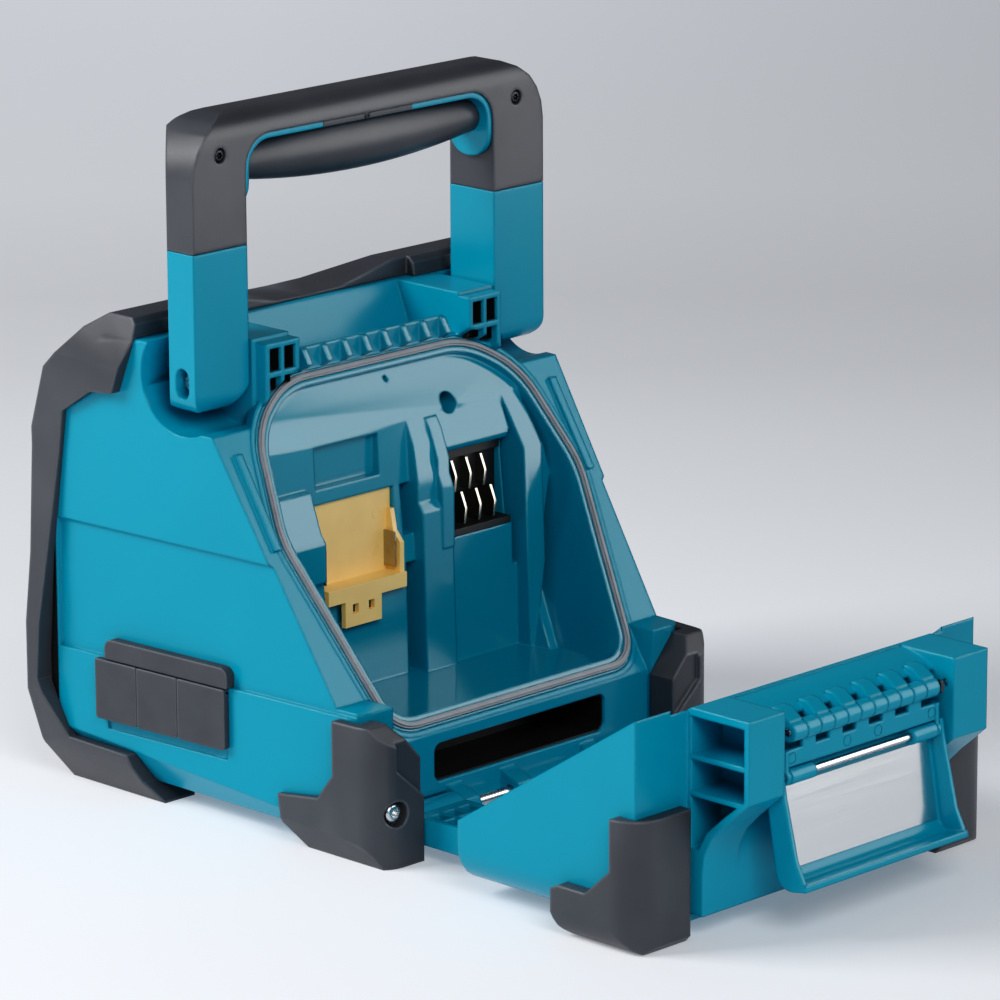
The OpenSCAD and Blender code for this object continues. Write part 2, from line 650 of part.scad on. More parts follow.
// Sockets behind the rubber cover
flap_y = [[-66.5, -42.2], [-41.8, -18.2], [-17.8, 9.5]];
module port_board() {
  color("#1f6b45") on_side() box([-port_d, port_y[0] + 1, port_z[0] + 1], [1.6 - port_d, port_y[1] - 1,
      port_z[1] - 1]);
}
function flap_mid(i) = (flap_y[i][0] + flap_y[i][1]) / 2;
port_mid_z = (port_z[0] + port_z[1]) / 2;
module usb_socket() {
  color(steel) on_side() translate([1.6 - port_d, flap_mid(0), port_mid_z]) difference() {
    box([0, -7, -3.6], [9, 7, 3.6]);
    box([1, -6.2, -2.8], [20, 6.2, 2.8]);
  }
}
module round_socket(i, r, bore) {
  on_side() translate([1.6 - port_d, flap_mid(i), port_mid_z]) rotate([0, 90, 0]) difference() {
    cylinder(h = 9, r = r);
    translate([0, 0, 1]) cylinder(h = 20, r = bore);
  }
}
module audio_socket() { color(black) round_socket(1, 4, 1.8); }
module charger_socket() { color(black) round_socket(2, 5.5, 3.2); }
flap_out = 3.2;
flap_hinge_z = 60.8;
module port_cover_strip() {
  color(soft_grey) on_side() along_x(0.05 - band_d, flap_out - 0.4) polygon(rounded([[-61, 62.2], [11,
      62.2], [11, 71],
    [-61, 71]], [0.5, 0.5, 4, 4]));
}
module flap(i) {
  color(soft_grey) on_side() difference() {
    along_x(0.3, flap_out) polygon(rounded([[flap_y[i][0], 35], [flap_y[i][1], 35], [flap_y[i][1],
        flap_hinge_z + 0.8],
      [flap_y[i][0], flap_hinge_z + 0.8]], [1.5, 1.5, 0.4, 0.4]));
    // Thinned line where the rubber bends
    box([-1, -big, flap_hinge_z - 1.6], [1.4, big, flap_hinge_z - 0.4]);
  }
}
module usb_flap() { flap(0); }
module audio_flap() { flap(1); }
module charger_flap() { flap(2); }

// Seal and terminals in the bay
module bay_gasket() {
  color(seal_grey) {
    difference() {
      seal_prism(-gasket_w / 2, rim_h - 1.4, gasket_h - 0.8);
      seal_prism(gasket_w / 2, rim_h - 2, gasket_h);
    }
    difference() {
      seal_prism(0.7 - gasket_w / 2, gasket_h - 0.8, gasket_h);
      seal_prism(gasket_w / 2 - 0.7, gasket_h - 1, gasket_h + 1);
    }
  }
}
module slide_pack_terminal() {
  x0 = slot_x[0] + 0.4;
  x1 = slot_x[1] - 0.4;
  color(amber) difference() {
    union() {
      box([x0, slot_back, 94], [x1, slot_back + 2.4, 130]);
      box([x0, slot_back, 91], [x1, slot_back + 12.6, 94]);
      box([x0, slot_back + 10, 87.4], [x1, slot_back + 12.6, 91]);
      box([18.2, slot_back + 10, 76], [39.8, slot_back + 12.6, 87.4]);
      // Wing beside the sliding tongue
      along_x(x0, x0 + 2.4) polygon([[slot_back + 2.4, 94], [slot_back + 11, 94], [slot_back + 11, 107],
        [slot_back + 6.8, 111.6], [slot_back + 5, 121], [slot_back + 2.4, 121]]);
    }
    for (x = [22.5, 32]) box([x, slot_back + 6, 81.6], [x + 3.4, 40, 85.8]);
  }
}
module slide_pack_blades() {
  color(steel) for (x = [slot_x[0] + 3.6, slot_x[1] - 2.4])
    box([x, slot_back + 2.4, 96], [x + 0.8, slot_back + 9.4, 111.6]);
}
module stick_pack_terminal() {
  x0 = stick_x[0] + 0.4;
  x1 = stick_x[1] - 0.4;
  color(black) difference() {
    union() {
      box([x0, slot_back - 2, stick_low_h], [x1, slot_back + 1, stick_top_h - 0.4]);
      box([x0, slot_back + 1, stick_low_h], [x1, slot_back + 11, stick_low_h + 3]);
      box([x0, slot_back + 1, stick_top_h - 5], [x1, slot_back + 4, stick_top_h - 0.4]);
    }
    for (x = [-57, -36]) box([x, -20, 128], [x + 3, slot_back, 135]);
  }
}
module stick_pack_blades() {
  // Sprung fork contacts in two rows
  row_h = 14;
  color(steel) for (x = [-55, -46, -37], h = [0, 1]) {
    z = stick_low_h + 4 + row_h * h;
    front = slot_back + 10 - 3 * h;
    along_x(x + h * 3, x + h * 3 + 1.4) polygon([[slot_back + 1, z], [front - 1, z], [front, z + row_h / 2],
      [front - 3, z + row_h], [slot_back + 1, z + row_h]]);
  }
}

// Handle
cover_top = handle_top_h;
opening_top = handle_top_h - 11;
grip_z = opening_top - 12.5;
leg_t = 2.6;
handle_round = 28;
cover_round = 10;
module arm_plan() {
  // Arm section: the front outer edge is bevelled
  polygon([[arm_in, arm_front_y], [arm_out - 11, arm_front_y], [arm_out, arm_front_y + 11],
    [arm_out, arm_back_y], [arm_in, arm_back_y]]);
}
module handle_outline(d) {
  polygon(rounded([[arm_out - d, 0], [arm_out - d, cover_top - d], [d - arm_out, cover_top - d],
    [d - arm_out, 0]], [0.5, handle_round - d, handle_round - d, 0.5]));
}
module handle_opening(d) {
  polygon(rounded([[arm_in - d, -10], [arm_in - d, opening_top - d], [d - arm_in, opening_top - d],
    [d - arm_in, -10]], [0.5, 14 - d, 14 - d, 0.5]));
}
core_in = 7;
strip_drop = 31;
module core_solid(gap) {
  // Stiff core inside the soft cover
  intersection() {
    along_y(arm_front_y + core_in - gap, arm_back_y - core_in + gap) difference() {
      handle_outline(core_in - gap);
      handle_opening(gap - 4);
    }
    box([-big, -big, cover_h - 1], [big, big, big]);
  }
}
module handle_frame() {
  color(teal) difference() {
    union() {
      both_sides() intersection() {
        along_z(0, cover_h) arm_plan();
        // Round lower end, with its outer corner rounded and its inner corner swept away
        along_x(0, big) polygon(rounded([[arm_front_y, pivot_h - arm_end_d], [arm_back_y,
            pivot_h - arm_end_d],
          [arm_back_y, big], [arm_front_y, big]], [16, 7.9, 1, 1]));
        along_y(-big, big) polygon(rounded([[arm_in, pivot_h - 4], [arm_in + 9, pivot_h - arm_end_d],
          [arm_out, pivot_h - arm_end_d], [arm_out, big], [arm_in, big]], [2, 4, 9, 1, 1]));
      }
      core_solid(0);
      // Bright strip that frames the grip
      intersection() {
        along_x(-big, big) polygon(rounded([[arm_front_y + 2, opening_top - strip_drop],
          [arm_back_y - 1, opening_top - strip_drop], [arm_back_y - 1, big], [arm_front_y + 2, big]],
              [11, 11, 1, 1]));
        along_y(-big, big) difference() {
          handle_opening(0);
          handle_opening(leg_t);
        }
      }
      for (x = [-60, 0, 60]) box([x - 5, arm_front_y + core_in + 1, opening_top - 0.5],
        [x + 5, arm_back_y - core_in - 1, opening_top + 4.5]);
    }
    both_sides() rod_x(0, arm_out - 7, pivot_y, pivot_h, pivot_r + run_gap);
    // Oblong recess over the pivot
    both_sides() for (z = [-2.6, 2.6]) rod_x(arm_out - 7.1, big, pivot_y, pivot_h + z, 4);
    both_sides() box([arm_out - 7.1, pivot_y - 4, pivot_h - 2.6], [big, pivot_y + 4, pivot_h + 2.6]);
    for (x = handle_screw_x) rod_y(arm_back_y - 14, 0, x, handle_screw_z, 1.4);
  }
}
handle_screw_x = [-88, 88];
handle_screw_z = handle_top_h - 17;
module handle_cover() {
  color(soft_grey) difference() {
    intersection() {
      along_y(arm_front_y, arm_back_y) handle_outline(0);
      along_x(-big, big) polygon(rounded([[arm_front_y, cover_h], [arm_back_y, cover_h], [arm_back_y,
          cover_top],
        [arm_front_y, cover_top]], [0.5, 0.5, cover_round, cover_round]));
      union() {
        both_sides() along_z(cover_h + 0.3, big) arm_plan();
        along_x(-arm_in - 4, arm_in + 4) polygon([[arm_front_y, cover_h], [arm_back_y, cover_h],
            [arm_back_y, big],
          [arm_front_y, big]]);
      }
    }
    along_y(-big, big) handle_opening(-0.1);
    core_solid(0.1);
    for (x = [-60, 0, 60]) box([x - 5.1, arm_front_y + core_in + 0.9, opening_top - 1],
      [x + 5.1, arm_back_y - core_in - 0.9, opening_top + 4.6]);
    for (x = handle_screw_x) rod_y(arm_back_y - 2.4, 0, x, handle_screw_z, 3.3);
    for (x = handle_screw_x) rod_y(arm_back_y - 14, 0, x, handle_screw_z, 1.5);
  }
}
grip_half = arm_in - leg_t - 0.2;
module handle_grip() {
  // Barrel-shaped grip, cut flat where it seats under the strip
  bulge = 5.8;
  end_r = 7.8;
  color(soft_grey) intersection() {
    translate([0, arm_back_y - arm_d / 2, grip_z]) rotate([0, 90, 0]) rotate_extrude()
      polygon(concat([[0, -grip_half]],
        [for (i = [-10:10]) [end_r + bulge * (1 - i * i / 100), i / 10 * grip_half]], [[0, grip_half]]));
    along_y(-big, big) handle_opening(leg_t + 0.2);
  }
}
module handle_screws() {
  color("#2a2a2c") for (x = handle_screw_x) {
    rod_y(arm_back_y - 2.4, arm_back_y - 0.6, x, handle_screw_z, 3, 2.6);
    rod_y(arm_back_y - core_in - 5, arm_back_y - 2.4, x, handle_screw_z, 1.3);
  }
}
module handle_pivot_pins() {
  color(steel) both_sides() {
    rod_x(latch_half + 4.4, arm_out - 7, pivot_y, pivot_h, pivot_r);
    rod_x(arm_out - 7, arm_out - 4.4, pivot_y, pivot_h, pivot_r - 0.6);
  }
}

// Door and its latch, drawn closed
module door_hinge_pin() {
  color(steel) rod_x(-narrow_half + 1, narrow_half - 1, hinge_y, hinge_h, hinge_r);
}
wide_profile = [[slope_y(wide_low_h) + door_gap, wide_low_h], [panel_y, wide_low_h], [panel_y, door_top_h],
  [slope_y(door_top_h) + door_gap, door_top_h]];
top_profile = [[3.6, door_top_h - 1], [panel_y - 4, door_top_h - 1], [panel_y - 4, shelf_h], [72, shelf_h],
  [64, shelf_h + 1], [56, shelf_h + 5], [49, shelf_h + 12], [42, shelf_h + 20], [38, block_top_h],
  [3.6, block_top_h]];
module door_plan(d) {
  polygon(rounded([[d - door_half, -60], [door_half - d, -60], [door_half - d, panel_y - d],
      [d - door_half, panel_y - d]],
    [1, 1, door_round - d, door_round - d]));
}
module door_shell() {
  intersection() {
    along_x(-door_half, door_half) polygon(wide_profile);
    along_z(0, big) door_plan(0);
  }
  along_x(-narrow_half, narrow_half) polygon([[back_depth + 1, hinge_h], [panel_y, hinge_h], [panel_y,
      wide_low_h + 1],
    [slope_y(wide_low_h) + door_gap, wide_low_h + 1], [back_depth + 1, 47]]);
  along_x(-block_half, block_half) polygon(top_profile);
}
module door_hollow() {
  t = door_wall;
  // Wedge-shaped space behind the sealing flange
  intersection() {
    along_x(-big, big) polygon([[slope_y(wide_low_h + t) + 8, wide_low_h + t], [panel_y - t, wide_low_h + t],
      [panel_y - t, door_top_h - t], [slope_y(door_top_h - t) + 8, door_top_h - t]]);
    along_z(0, big) door_plan(t);
  }
  along_x(t - narrow_half, narrow_half - t) polygon([[slope_y(52) + 8, 52], [panel_y - t, 42],
    [panel_y - t, wide_low_h + t + 1], [slope_y(wide_low_h + t) + 8, wide_low_h + t + 1]]);
  intersection() {
    seal_prism(gasket_w / 2 + 3, -2, 40);
    along_x(-big, big) polygon([[-20, 52], [panel_y - t, 52], [panel_y - t, door_top_h - t], [-20,
        door_top_h - t]]);
  }
  // Room for the gasket's crown and the frame's rails
  seal_prism(-6, -10, gasket_h + 0.5);
  both_sides() on_slope() box([rail_x[0] - 1, 8, -5], [rail_x[1] + 1, 56, rail_h + 0.6]);
}
module block_pockets() {
  // Three stacked pockets in the outer face of each latch block
  t = door_wall;
  intersection() {
    both_sides() for (y = [[7, 22.6], [24.8, 38], [40.2, 62]]) box([latch_half + 0.7 + t, y[0],
        door_top_h + 2],
      [big, y[1], big]);
    along_x(-big, big) polygon([[6, door_top_h], [62, door_top_h], [62, shelf_h - t], [54, shelf_h + 2],
      [46, shelf_h + 11], [37, block_top_h - t], [6, block_top_h - t]]);
  }
}
door_knuckles = 6;
knuckle_w = 2 * (latch_half - 6.6) / (2 * door_knuckles - 1);
function knuckle_x(i) = -latch_half + 6.6 + i * knuckle_w;
module latch_space() {
  along_x(-latch_half - 0.7, latch_half + 0.7) {
    polygon([[9.5, shelf_h], [11, latch_h - knuckle_r - 1], [11, big], [100, big], [100, shelf_h]]);
    // Hollowed front, which sweeps back to the knuckles
    polygon([[-20, door_top_h + 4], [4.2, door_top_h + 4], [4.8, shelf_h + 1], [6.2, shelf_h + 6], [8,
        shelf_h + 10],
      [9.8, latch_h - knuckle_r - 2.2], [11.1, latch_h - knuckle_r - 2.2], [11.1, big], [-20, big]]);
  }
}
module door_knuckle_row() {
  for (i = [0:door_knuckles - 1]) {
    x = knuckle_x(2 * i) + 0.2;
    rod_x(x, x + knuckle_w - 0.4, latch_y, latch_h, knuckle_r);
    along_x(x, x + knuckle_w - 0.4) polygon([[6, latch_h - 9], [9.5, latch_h - 9], [latch_y,
        latch_h - knuckle_r],
      [latch_y, latch_h], [10.5, latch_h + 1], [6.4, latch_h - 4.5]]);
  }
}
module battery_door() {
  color(teal) let_down() difference() {
    union() {
      difference() {
        door_shell();
        door_hollow();
        block_pockets();
        latch_space();
        // Space between the hinge arms
        box([-45.6, 0, 0], [45.6, 200, 44]);
        // Round off the arms about the pin, clear of the housing
        box([-big, 0, 0], [big, hinge_y, hinge_h + 6]);
        // Ribbed core-outs in the hinge arms
        both_sides() for (i = [0:2], j = [0:1])
          translate([49 + i * 8.8, back_depth, 24 + j * 9]) cube([6.6, 6, 7]);
      }
      both_sides() rod_x(46, narrow_half, hinge_y, hinge_h, 7.6);
      both_sides() box([46, hinge_y, hinge_h], [narrow_half, hinge_y + 7.6, hinge_h + 8]);
      door_knuckle_row();
    }
    rod_x(-big, big, hinge_y, hinge_h, hinge_r + run_gap);
    rod_x(-big, big, latch_y, latch_h, 1.5 + run_gap);
  }
}
door_bumper_t = 6;
door_bumper_round = 14;
module door_bumper() {
  out = door_half + door_bumper_t;
  top = door_top_h + door_bumper_t;
  low = door_top_h - 41;
  color(soft_grey) let_down() difference() {
    intersection() {
      along_x(block_half + 4, out) polygon([[44, low + 32.5], [44, top], [door_back - 3, top],
        [door_back, top - 3], [door_back, low + 10], [door_back - 4, low + 3], [90, low], [80, low],
        [78, low + 4], [78, low + 19], [66, low + 32.5]]);
      along_z(0, big) polygon(rounded([[block_half + 4, 0], [out, 0], [out, door_back],
          [block_half + 4, door_back]],
        [0.5, 0.5, 10, 0.5]));
      along_y(0, big) polygon(rounded([[block_half + 4, 0], [out, 0], [out, top], [block_half + 4, top]],
        [0.5, 0.5, door_bumper_round, 0.5]));
    }
    along_z(0, door_top_h + seat_gap) door_plan(-seat_gap);
  }
}
module door_bumper_left() { door_bumper(); }
module door_bumper_right() { mirror([1, 0, 0]) door_bumper(); }
module latch_hinge_pin() {
  color(steel) let_down() rod_x(knuckle_x(0), -knuckle_x(0), latch_y, latch_h, 1.5);
}
ear_x = lever_half - 2.6;
web_y = latch_y + knuckle_r + 3;
module latch_link() {
  color(teal) let_down() difference() {
    union() {
      for (i = [0:door_knuckles - 2]) {
        x = knuckle_x(2 * i + 1) + 0.2;
        rod_x(x, x + knuckle_w - 0.4, latch_y, latch_h, knuckle_r);
        box([x, latch_y, latch_h - 1.1], [x + knuckle_w - 0.4, web_y + 1, latch_h + 1.1]);
      }
      box([-ear_x + 0.4, web_y, latch_h - 1.1], [ear_x - 0.4, rod_y - 4.2, latch_h + 1.1]);
      both_sides() box([ear_x - 2.4, web_y, latch_h - 1.6], [ear_x - 0.4, rod_y, latch_h + 1.6]);
      both_sides() rod_x(ear_x - 2.4, ear_x - 0.4, rod_y, latch_h, 3.2);
    }
    rod_x(-big, big, latch_y, latch_h, 1.5 + run_gap);
    rod_x(-big, big, rod_y, latch_h, rod_r + run_gap);
  }
}
module latch_rod() {
  color(steel) let_down() rod_x(0.4 - ear_x, ear_x - 0.4, rod_y, latch_h, rod_r);
}
module latch_lever() {
  top = lever_low_h + lever_t;
  bend = corner_arc([rod_y, top], [lever_tip_y, top], [lever_tip_y, lip_h], lever_round);
  inner_bend = corner_arc([rod_y, lever_low_h], [lever_tip_y + lip_t, lever_low_h],
      [lever_tip_y + lip_t, lip_h],
    lever_round - lip_t);
  color(teal) let_down() swung_back() difference() {
    union() {
      along_x(-lever_half, lever_half) polygon(concat([[rod_y + 4, lever_low_h], [rod_y + 4, top]], bend,
        [[lever_tip_y, lip_h], [lever_tip_y + lip_t, lip_h]],
            [for (i = [len(inner_bend) - 1:-1:0]) inner_bend[i]]));
      both_sides() along_x(lever_half - 2.2, lever_half) polygon(concat([[lever_tip_y, lip_h], [0, lip_h + 4],
        [rod_y - 8, latch_h - 2], [rod_y + 4, latch_h - 2], [rod_y + 4, top]], bend));
      both_sides() rod_x(30, ear_x - 2.8, rod_y, latch_h, 3.4);
      both_sides() along_x(30, ear_x - 2.8) polygon([[rod_y - 1, latch_h], [rod_y + 3.4, latch_h],
          [rod_y + 3.4, top],
        [rod_y - 1, top]]);
    }
    rod_x(-lever_half + 2, lever_half - 2, rod_y, latch_h, rod_r + run_gap);
  }
}
plate_t = 0.5;
module lever_plate() {
  color(steel) let_down() swung_back()
    box([-lever_half + 4, lever_tip_y + lever_round, lever_low_h - plate_t], [lever_half - 4,
        rod_y - 4.6, lever_low_h]);
}

in_frame() rear_housing();
in_frame() bay_frame();
in_frame() front_baffle();
in_frame() front_bumper();
in_frame() rear_bumper_left();
in_frame() rear_bumper_right();
in_frame() bumper_screws();
in_frame() speaker_grille();
in_frame() woofer_basket();
in_frame() woofer_cone();
in_frame() woofer_magnet();
in_frame() tweeters();
in_frame() control_panel();
in_frame() power_button();
in_frame() pairing_button();
in_frame() play_button();
in_frame() volume_down_button();
in_frame() volume_up_button();
in_frame() status_lens();
in_frame() main_board();
in_frame() port_board();
in_frame() usb_socket();
in_frame() audio_socket();
in_frame() charger_socket();
in_frame() port_cover_strip();
in_frame() usb_flap();
in_frame() audio_flap();
in_frame() charger_flap();
in_frame() bay_gasket();
in_frame() slide_pack_terminal();
in_frame() slide_pack_blades();
in_frame() stick_pack_terminal();
in_frame() stick_pack_blades();
in_frame() handle_frame();
in_frame() handle_cover();
in_frame() handle_grip();
in_frame() handle_screws();
in_frame() handle_pivot_pins();
in_frame() door_hinge_pin();
in_frame() battery_door();
in_frame() door_bumper_left();
in_frame() door_bumper_right();
in_frame() latch_hinge_pin();
in_frame() latch_link();
in_frame() latch_rod();
in_frame() latch_lever();
in_frame() lever_plate();
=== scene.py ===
"""Jobsite speaker: moulded finishes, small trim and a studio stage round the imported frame."""

import math

import bmesh
import bpy
from bpy.props import FloatProperty, FloatVectorProperty, PointerProperty
from mathutils import Matrix, Vector


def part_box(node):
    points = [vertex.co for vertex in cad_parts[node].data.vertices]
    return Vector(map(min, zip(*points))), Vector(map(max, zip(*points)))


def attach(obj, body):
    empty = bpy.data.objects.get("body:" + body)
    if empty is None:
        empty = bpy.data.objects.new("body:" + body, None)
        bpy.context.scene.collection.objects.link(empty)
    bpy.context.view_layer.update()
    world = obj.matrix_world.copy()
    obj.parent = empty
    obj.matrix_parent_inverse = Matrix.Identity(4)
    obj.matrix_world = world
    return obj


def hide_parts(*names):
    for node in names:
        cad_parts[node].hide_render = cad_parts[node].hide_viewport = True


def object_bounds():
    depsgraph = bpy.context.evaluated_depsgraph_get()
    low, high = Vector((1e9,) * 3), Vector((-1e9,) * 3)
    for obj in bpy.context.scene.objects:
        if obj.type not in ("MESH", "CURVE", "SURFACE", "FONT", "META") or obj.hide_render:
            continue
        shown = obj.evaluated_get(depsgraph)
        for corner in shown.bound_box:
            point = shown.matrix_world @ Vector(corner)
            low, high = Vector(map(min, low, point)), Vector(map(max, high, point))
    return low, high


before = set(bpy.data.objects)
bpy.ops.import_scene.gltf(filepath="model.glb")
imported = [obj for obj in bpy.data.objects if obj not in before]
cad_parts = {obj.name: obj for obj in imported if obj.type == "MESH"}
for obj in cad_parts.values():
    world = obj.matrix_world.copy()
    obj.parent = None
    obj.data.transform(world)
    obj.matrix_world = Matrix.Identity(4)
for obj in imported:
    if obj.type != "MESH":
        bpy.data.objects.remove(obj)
CAD_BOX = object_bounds()

bl_info = {
    "name": "Jobsite Speaker",
    "version": (1, 0, 0),
    "blender": (4, 5, 0),
    "location": "View3D > Sidebar > Speaker",
    "description": "Dresses the packed jobsite speaker and sets it on a studio stage",
    "category": "Object",
}

MM = 0.001
# The drawing's working origin, found from the door's hinge pin, which lies behind it by this much
HINGE_BACK = 87.25 * MM
WORK_Y = sum(corner.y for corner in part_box("door_hinge_pin")) / 2 - HINGE_BACK
# Places in millimetres, in the drawing's working axes
WOOFER_MIDDLE = (0, -92, 106)
KEY_ROW_HEIGHT = 29.5
# Where the camera stands, in metres in the frame's own axes, and the width of its sensor in millimetres
CAMERA_PLACE = Vector((1.7108, 1.6609, 0.7720))
SENSOR_WIDTH = 36
# The stretch of the paper roll that its painted glow is graded over, in metres away from the camera
ROLL_START, ROLL_END = -0.4, 2.4
# Which of the view's curves acts on red, green and blue together
COMBINED_CURVE = 3


def linear(code):
    """sRGB hex code to the linear red, green and blue that shaders take."""
    channels = [int(code[i : i + 2], 16) / 255 for i in (1, 3, 5)]
    return [c / 12.92 if c <= 0.04045 else ((c + 0.055) / 1.055) ** 2.4 for c in channels]


def colour(label, words, code):
    """Colour property with an sRGB hex default."""
    shade = linear(code)
    return FloatVectorProperty(name=label, description=words, subtype="COLOR", min=0, max=1, default=shade)


def length(label, words, millimetres):
    """Length property with its default in millimetres."""
    metres = millimetres * MM
    return FloatProperty(name=label, description=words, unit="LENGTH", precision=5, default=metres)


def power(label, words, watts):
    """Light power property."""
    return FloatProperty(name=label, description=words, unit="POWER", min=0, default=watts)


def angle(label, words, degrees):
    """Angle property with its default in degrees."""
    return FloatProperty(name=label, description=words, subtype="ANGLE", default=math.radians(degrees))


class SpeakerFinish(bpy.types.PropertyGroup):
    """Colours and edge sizes of the moulded pieces."""

    teal: colour("Housing", "Colour of the moulded housing, door and handle arms", "#0090AC")
    # The bay takes the housing's teal darkened, as painted shade in the recess
    bay: colour("Bay", "Colour of the polished battery bay, deeper than the housing", "#0088A2")
    elastomer: colour("Bumpers", "Colour of the soft overmoulded bumpers and grip", "#404247")
    # Paler edge colour: partly wear, partly a painted highlight along the edges
    wear_and_highlight: colour("Worn edges", "Colour of the bumpers' edges, where handling has polished them", "#6C6F75")
    black: colour("Inner plastic", "Colour of the baffle and terminal blocks", "#17181A")
    seal: colour("Seal", "Colour of the bay's gasket", "#8E9298")
    amber: colour("Slide terminal", "Colour of the slide pack's terminal tray", "#FFD282")
    hard_edge: length("Moulded edge", "Radius of the small edges on hard mouldings", 1.6)
    soft_edge: length("Soft edge", "Radius of the edges on the soft bumpers", 2.0)
    trim_edge: length("Trim edge", "Radius of the edges on small pieces", 0.3)
    grain: length("Grain", "Grain of the soft overmoulding", 0.9)


class SpeakerTrim(bpy.types.PropertyGroup):
    """Sizes of the small pieces."""

    bumper_screw: length("Bumper screw", "Head radius of the screws in the rear bumpers", 4.6)
    handle_screw: length("Handle screw", "Head radius of the screws in the handle cover", 3.0)
    ejector: length("Ejector mark", "Radius of the ring that an ejector pin leaves", 2.3)


class SpeakerStage(bpy.types.PropertyGroup):
    """Camera and lights."""

    lens: FloatProperty(name="Lens", description="Focal length in millimetres", default=211.2, min=20)
    turn: angle("Turn", "Camera's turn round the speaker", 134.55)
    rise: angle("Rise", "Camera's angle above the floor", 14.86)
    roll: angle("Roll", "Camera's lean about its own axis", -0.29)
    key: power("Key light", "Power of the light on the socket side", 37)
    panel: power("Panel", "Power of the standing panel that the back faces mirror", 9)
    fill: power("Fill light", "Power of the light above the camera", 26)
    top: power("Top light", "Power of the light overhead", 1.5)
    paper: colour("Paper", "Colour of the studio paper", "#E2E4E7")
    air: colour("Surround", "Colour of the light from all round", "#C9CDD6")
    glow: FloatProperty(name="Surround strength", description="Light from all round", default=0.2, min=0)


# Materials


def settle(node, values):
    """Sets plain values on a node's own sockets."""
    for name, value in values.items():
        node.inputs[name.replace("_", " ")].default_value = value


def add_node(tree, kind, settings=None, links=None, **values):
    """Adds one shader node, sets its attributes and sockets, and links other nodes' outputs into it."""
    node = tree.nodes.new(kind)
    for name, value in (settings or {}).items():
        setattr(node, name, value)
    settle(node, values)
    for name, source in (links or {}).items():
        tree.links.new(source, node.inputs[name])
    return node


def blank(name):
    """New material with only a shader and its output; returns the material, its tree and the shader."""
    material = bpy.data.materials.new(name)
    material.use_nodes = True
    tree = material.node_tree
    return material, tree, tree.nodes["Principled BSDF"]


def rgba(value, share=1.0):
    """Linear colour with full alpha, lightened or darkened by a share."""
    return (*[min(1.0, c * share) for c in value], 1.0)


def surface(name, shade, spread, patch, rough, grain, relief, edge, wear_and_highlight=None, **sockets):
    """Worked surface in four layers, as most real ones have.

    Its colour drifts by a spread over patches of a given width, its gloss runs between two roughness
    values over the grain, the grain stands up by a relief, and its edges are rounded off. Edges may take
    a second, paler colour, which is partly wear and partly a painted highlight.
    """
    material, tree, shader = blank(name)
    settle(shader, sockets)
    place = add_node(tree, "ShaderNodeTexCoord").outputs["Object"]
    broad = add_node(tree, "ShaderNodeTexNoise", None, {"Vector": place}, Scale=1 / patch, Detail=2.0)
    tone = add_node(tree, "ShaderNodeValToRGB", None, {"Fac": broad.outputs["Fac"]})
    for stop, where, share in zip(tone.color_ramp.elements, (0.3, 0.7), (1 - spread, 1 + spread)):
        stop.position = where
        stop.color = rgba(shade, share)
    fine = add_node(tree, "ShaderNodeTexNoise", None, {"Vector": place}, Scale=1 / grain, Detail=3.0)
    gloss = add_node(
        tree, "ShaderNodeMapRange", None, {"Value": fine.outputs["Fac"]}, To_Min=rough[0], To_Max=rough[1]
    )
    rounded = add_node(tree, "ShaderNodeBevel", {"samples": 6}, Radius=edge)
    bump = add_node(
        tree,
        "ShaderNodeBump",
        None,
        {"Height": fine.outputs["Fac"], "Normal": rounded.outputs["Normal"]},
        Strength=0.5,
        Distance=relief,
    )
    shown = tone.outputs["Color"]
    if wear_and_highlight:
        # The rounded normal leaves the true one only within an edge's radius, which marks the edges; there
        # the colour turns paler, partly wear and partly a painted highlight
        flat = add_node(tree, "ShaderNodeNewGeometry").outputs["True Normal"]
        lean = add_node(
            tree,
            "ShaderNodeVectorMath",
            {"operation": "DOT_PRODUCT"},
            {0: rounded.outputs["Normal"], 1: flat},
        )
        wear_and_highlight_mask = add_node(
            tree,
            "ShaderNodeMapRange",
            None,
            {"Value": lean.outputs["Value"]},
            From_Min=0.8,
            From_Max=0.99,
            To_Min=0.7,
            To_Max=0.0,
        )
        blend = add_node(tree, "ShaderNodeMix", {"data_type": "RGBA"}, {0: wear_and_highlight_mask.outputs["Result"], 6: shown})
        blend.inputs[7].default_value = rgba(wear_and_highlight)
        shown = blend.outputs[2]
    tree.links.new(shown, shader.inputs["Base Color"])
    tree.links.new(gloss.outputs["Result"], shader.inputs["Roughness"])
    tree.links.new(bump.outputs["Normal"], shader.inputs["Normal"])
    return material


def rolled_sheet(name, code):
    """Rolled spring-steel sheet: bright metal with fine lines along the rolling direction."""
    material, tree, shader = blank(name)
    settle(shader, {"Base_Color": rgba(linear(code)), "Metallic": 1.0})
    place = add_node(tree, "ShaderNodeTexCoord").outputs["Object"]
    # Rolling lines run across the lever
    apart, long = 0.6 * MM, 60 * MM
    stretch = add_node(
        tree, "ShaderNodeMapping", None, {"Vector": place}, Scale=(1 / long, 1 / apart, 1 / apart)
    )
    lines = add_node(
        tree, "ShaderNodeTexNoise", None, {"Vector": stretch.outputs["Vector"]}, Scale=1.0, Detail=2.0
    )
    height = lines.outputs["Fac"]
    gloss = add_node(tree, "ShaderNodeMapRange", None, {"Value": height}, To_Min=0.1, To_Max=0.2)
    bump = add_node(tree, "ShaderNodeBump", None, {"Height": height}, Strength=0.1, Distance=0.05 * MM)
    tree.links.new(gloss.outputs["Result"], shader.inputs["Roughness"])
    tree.links.new(bump.outputs["Normal"], shader.inputs["Normal"])
    return material


MATERIALS = {}


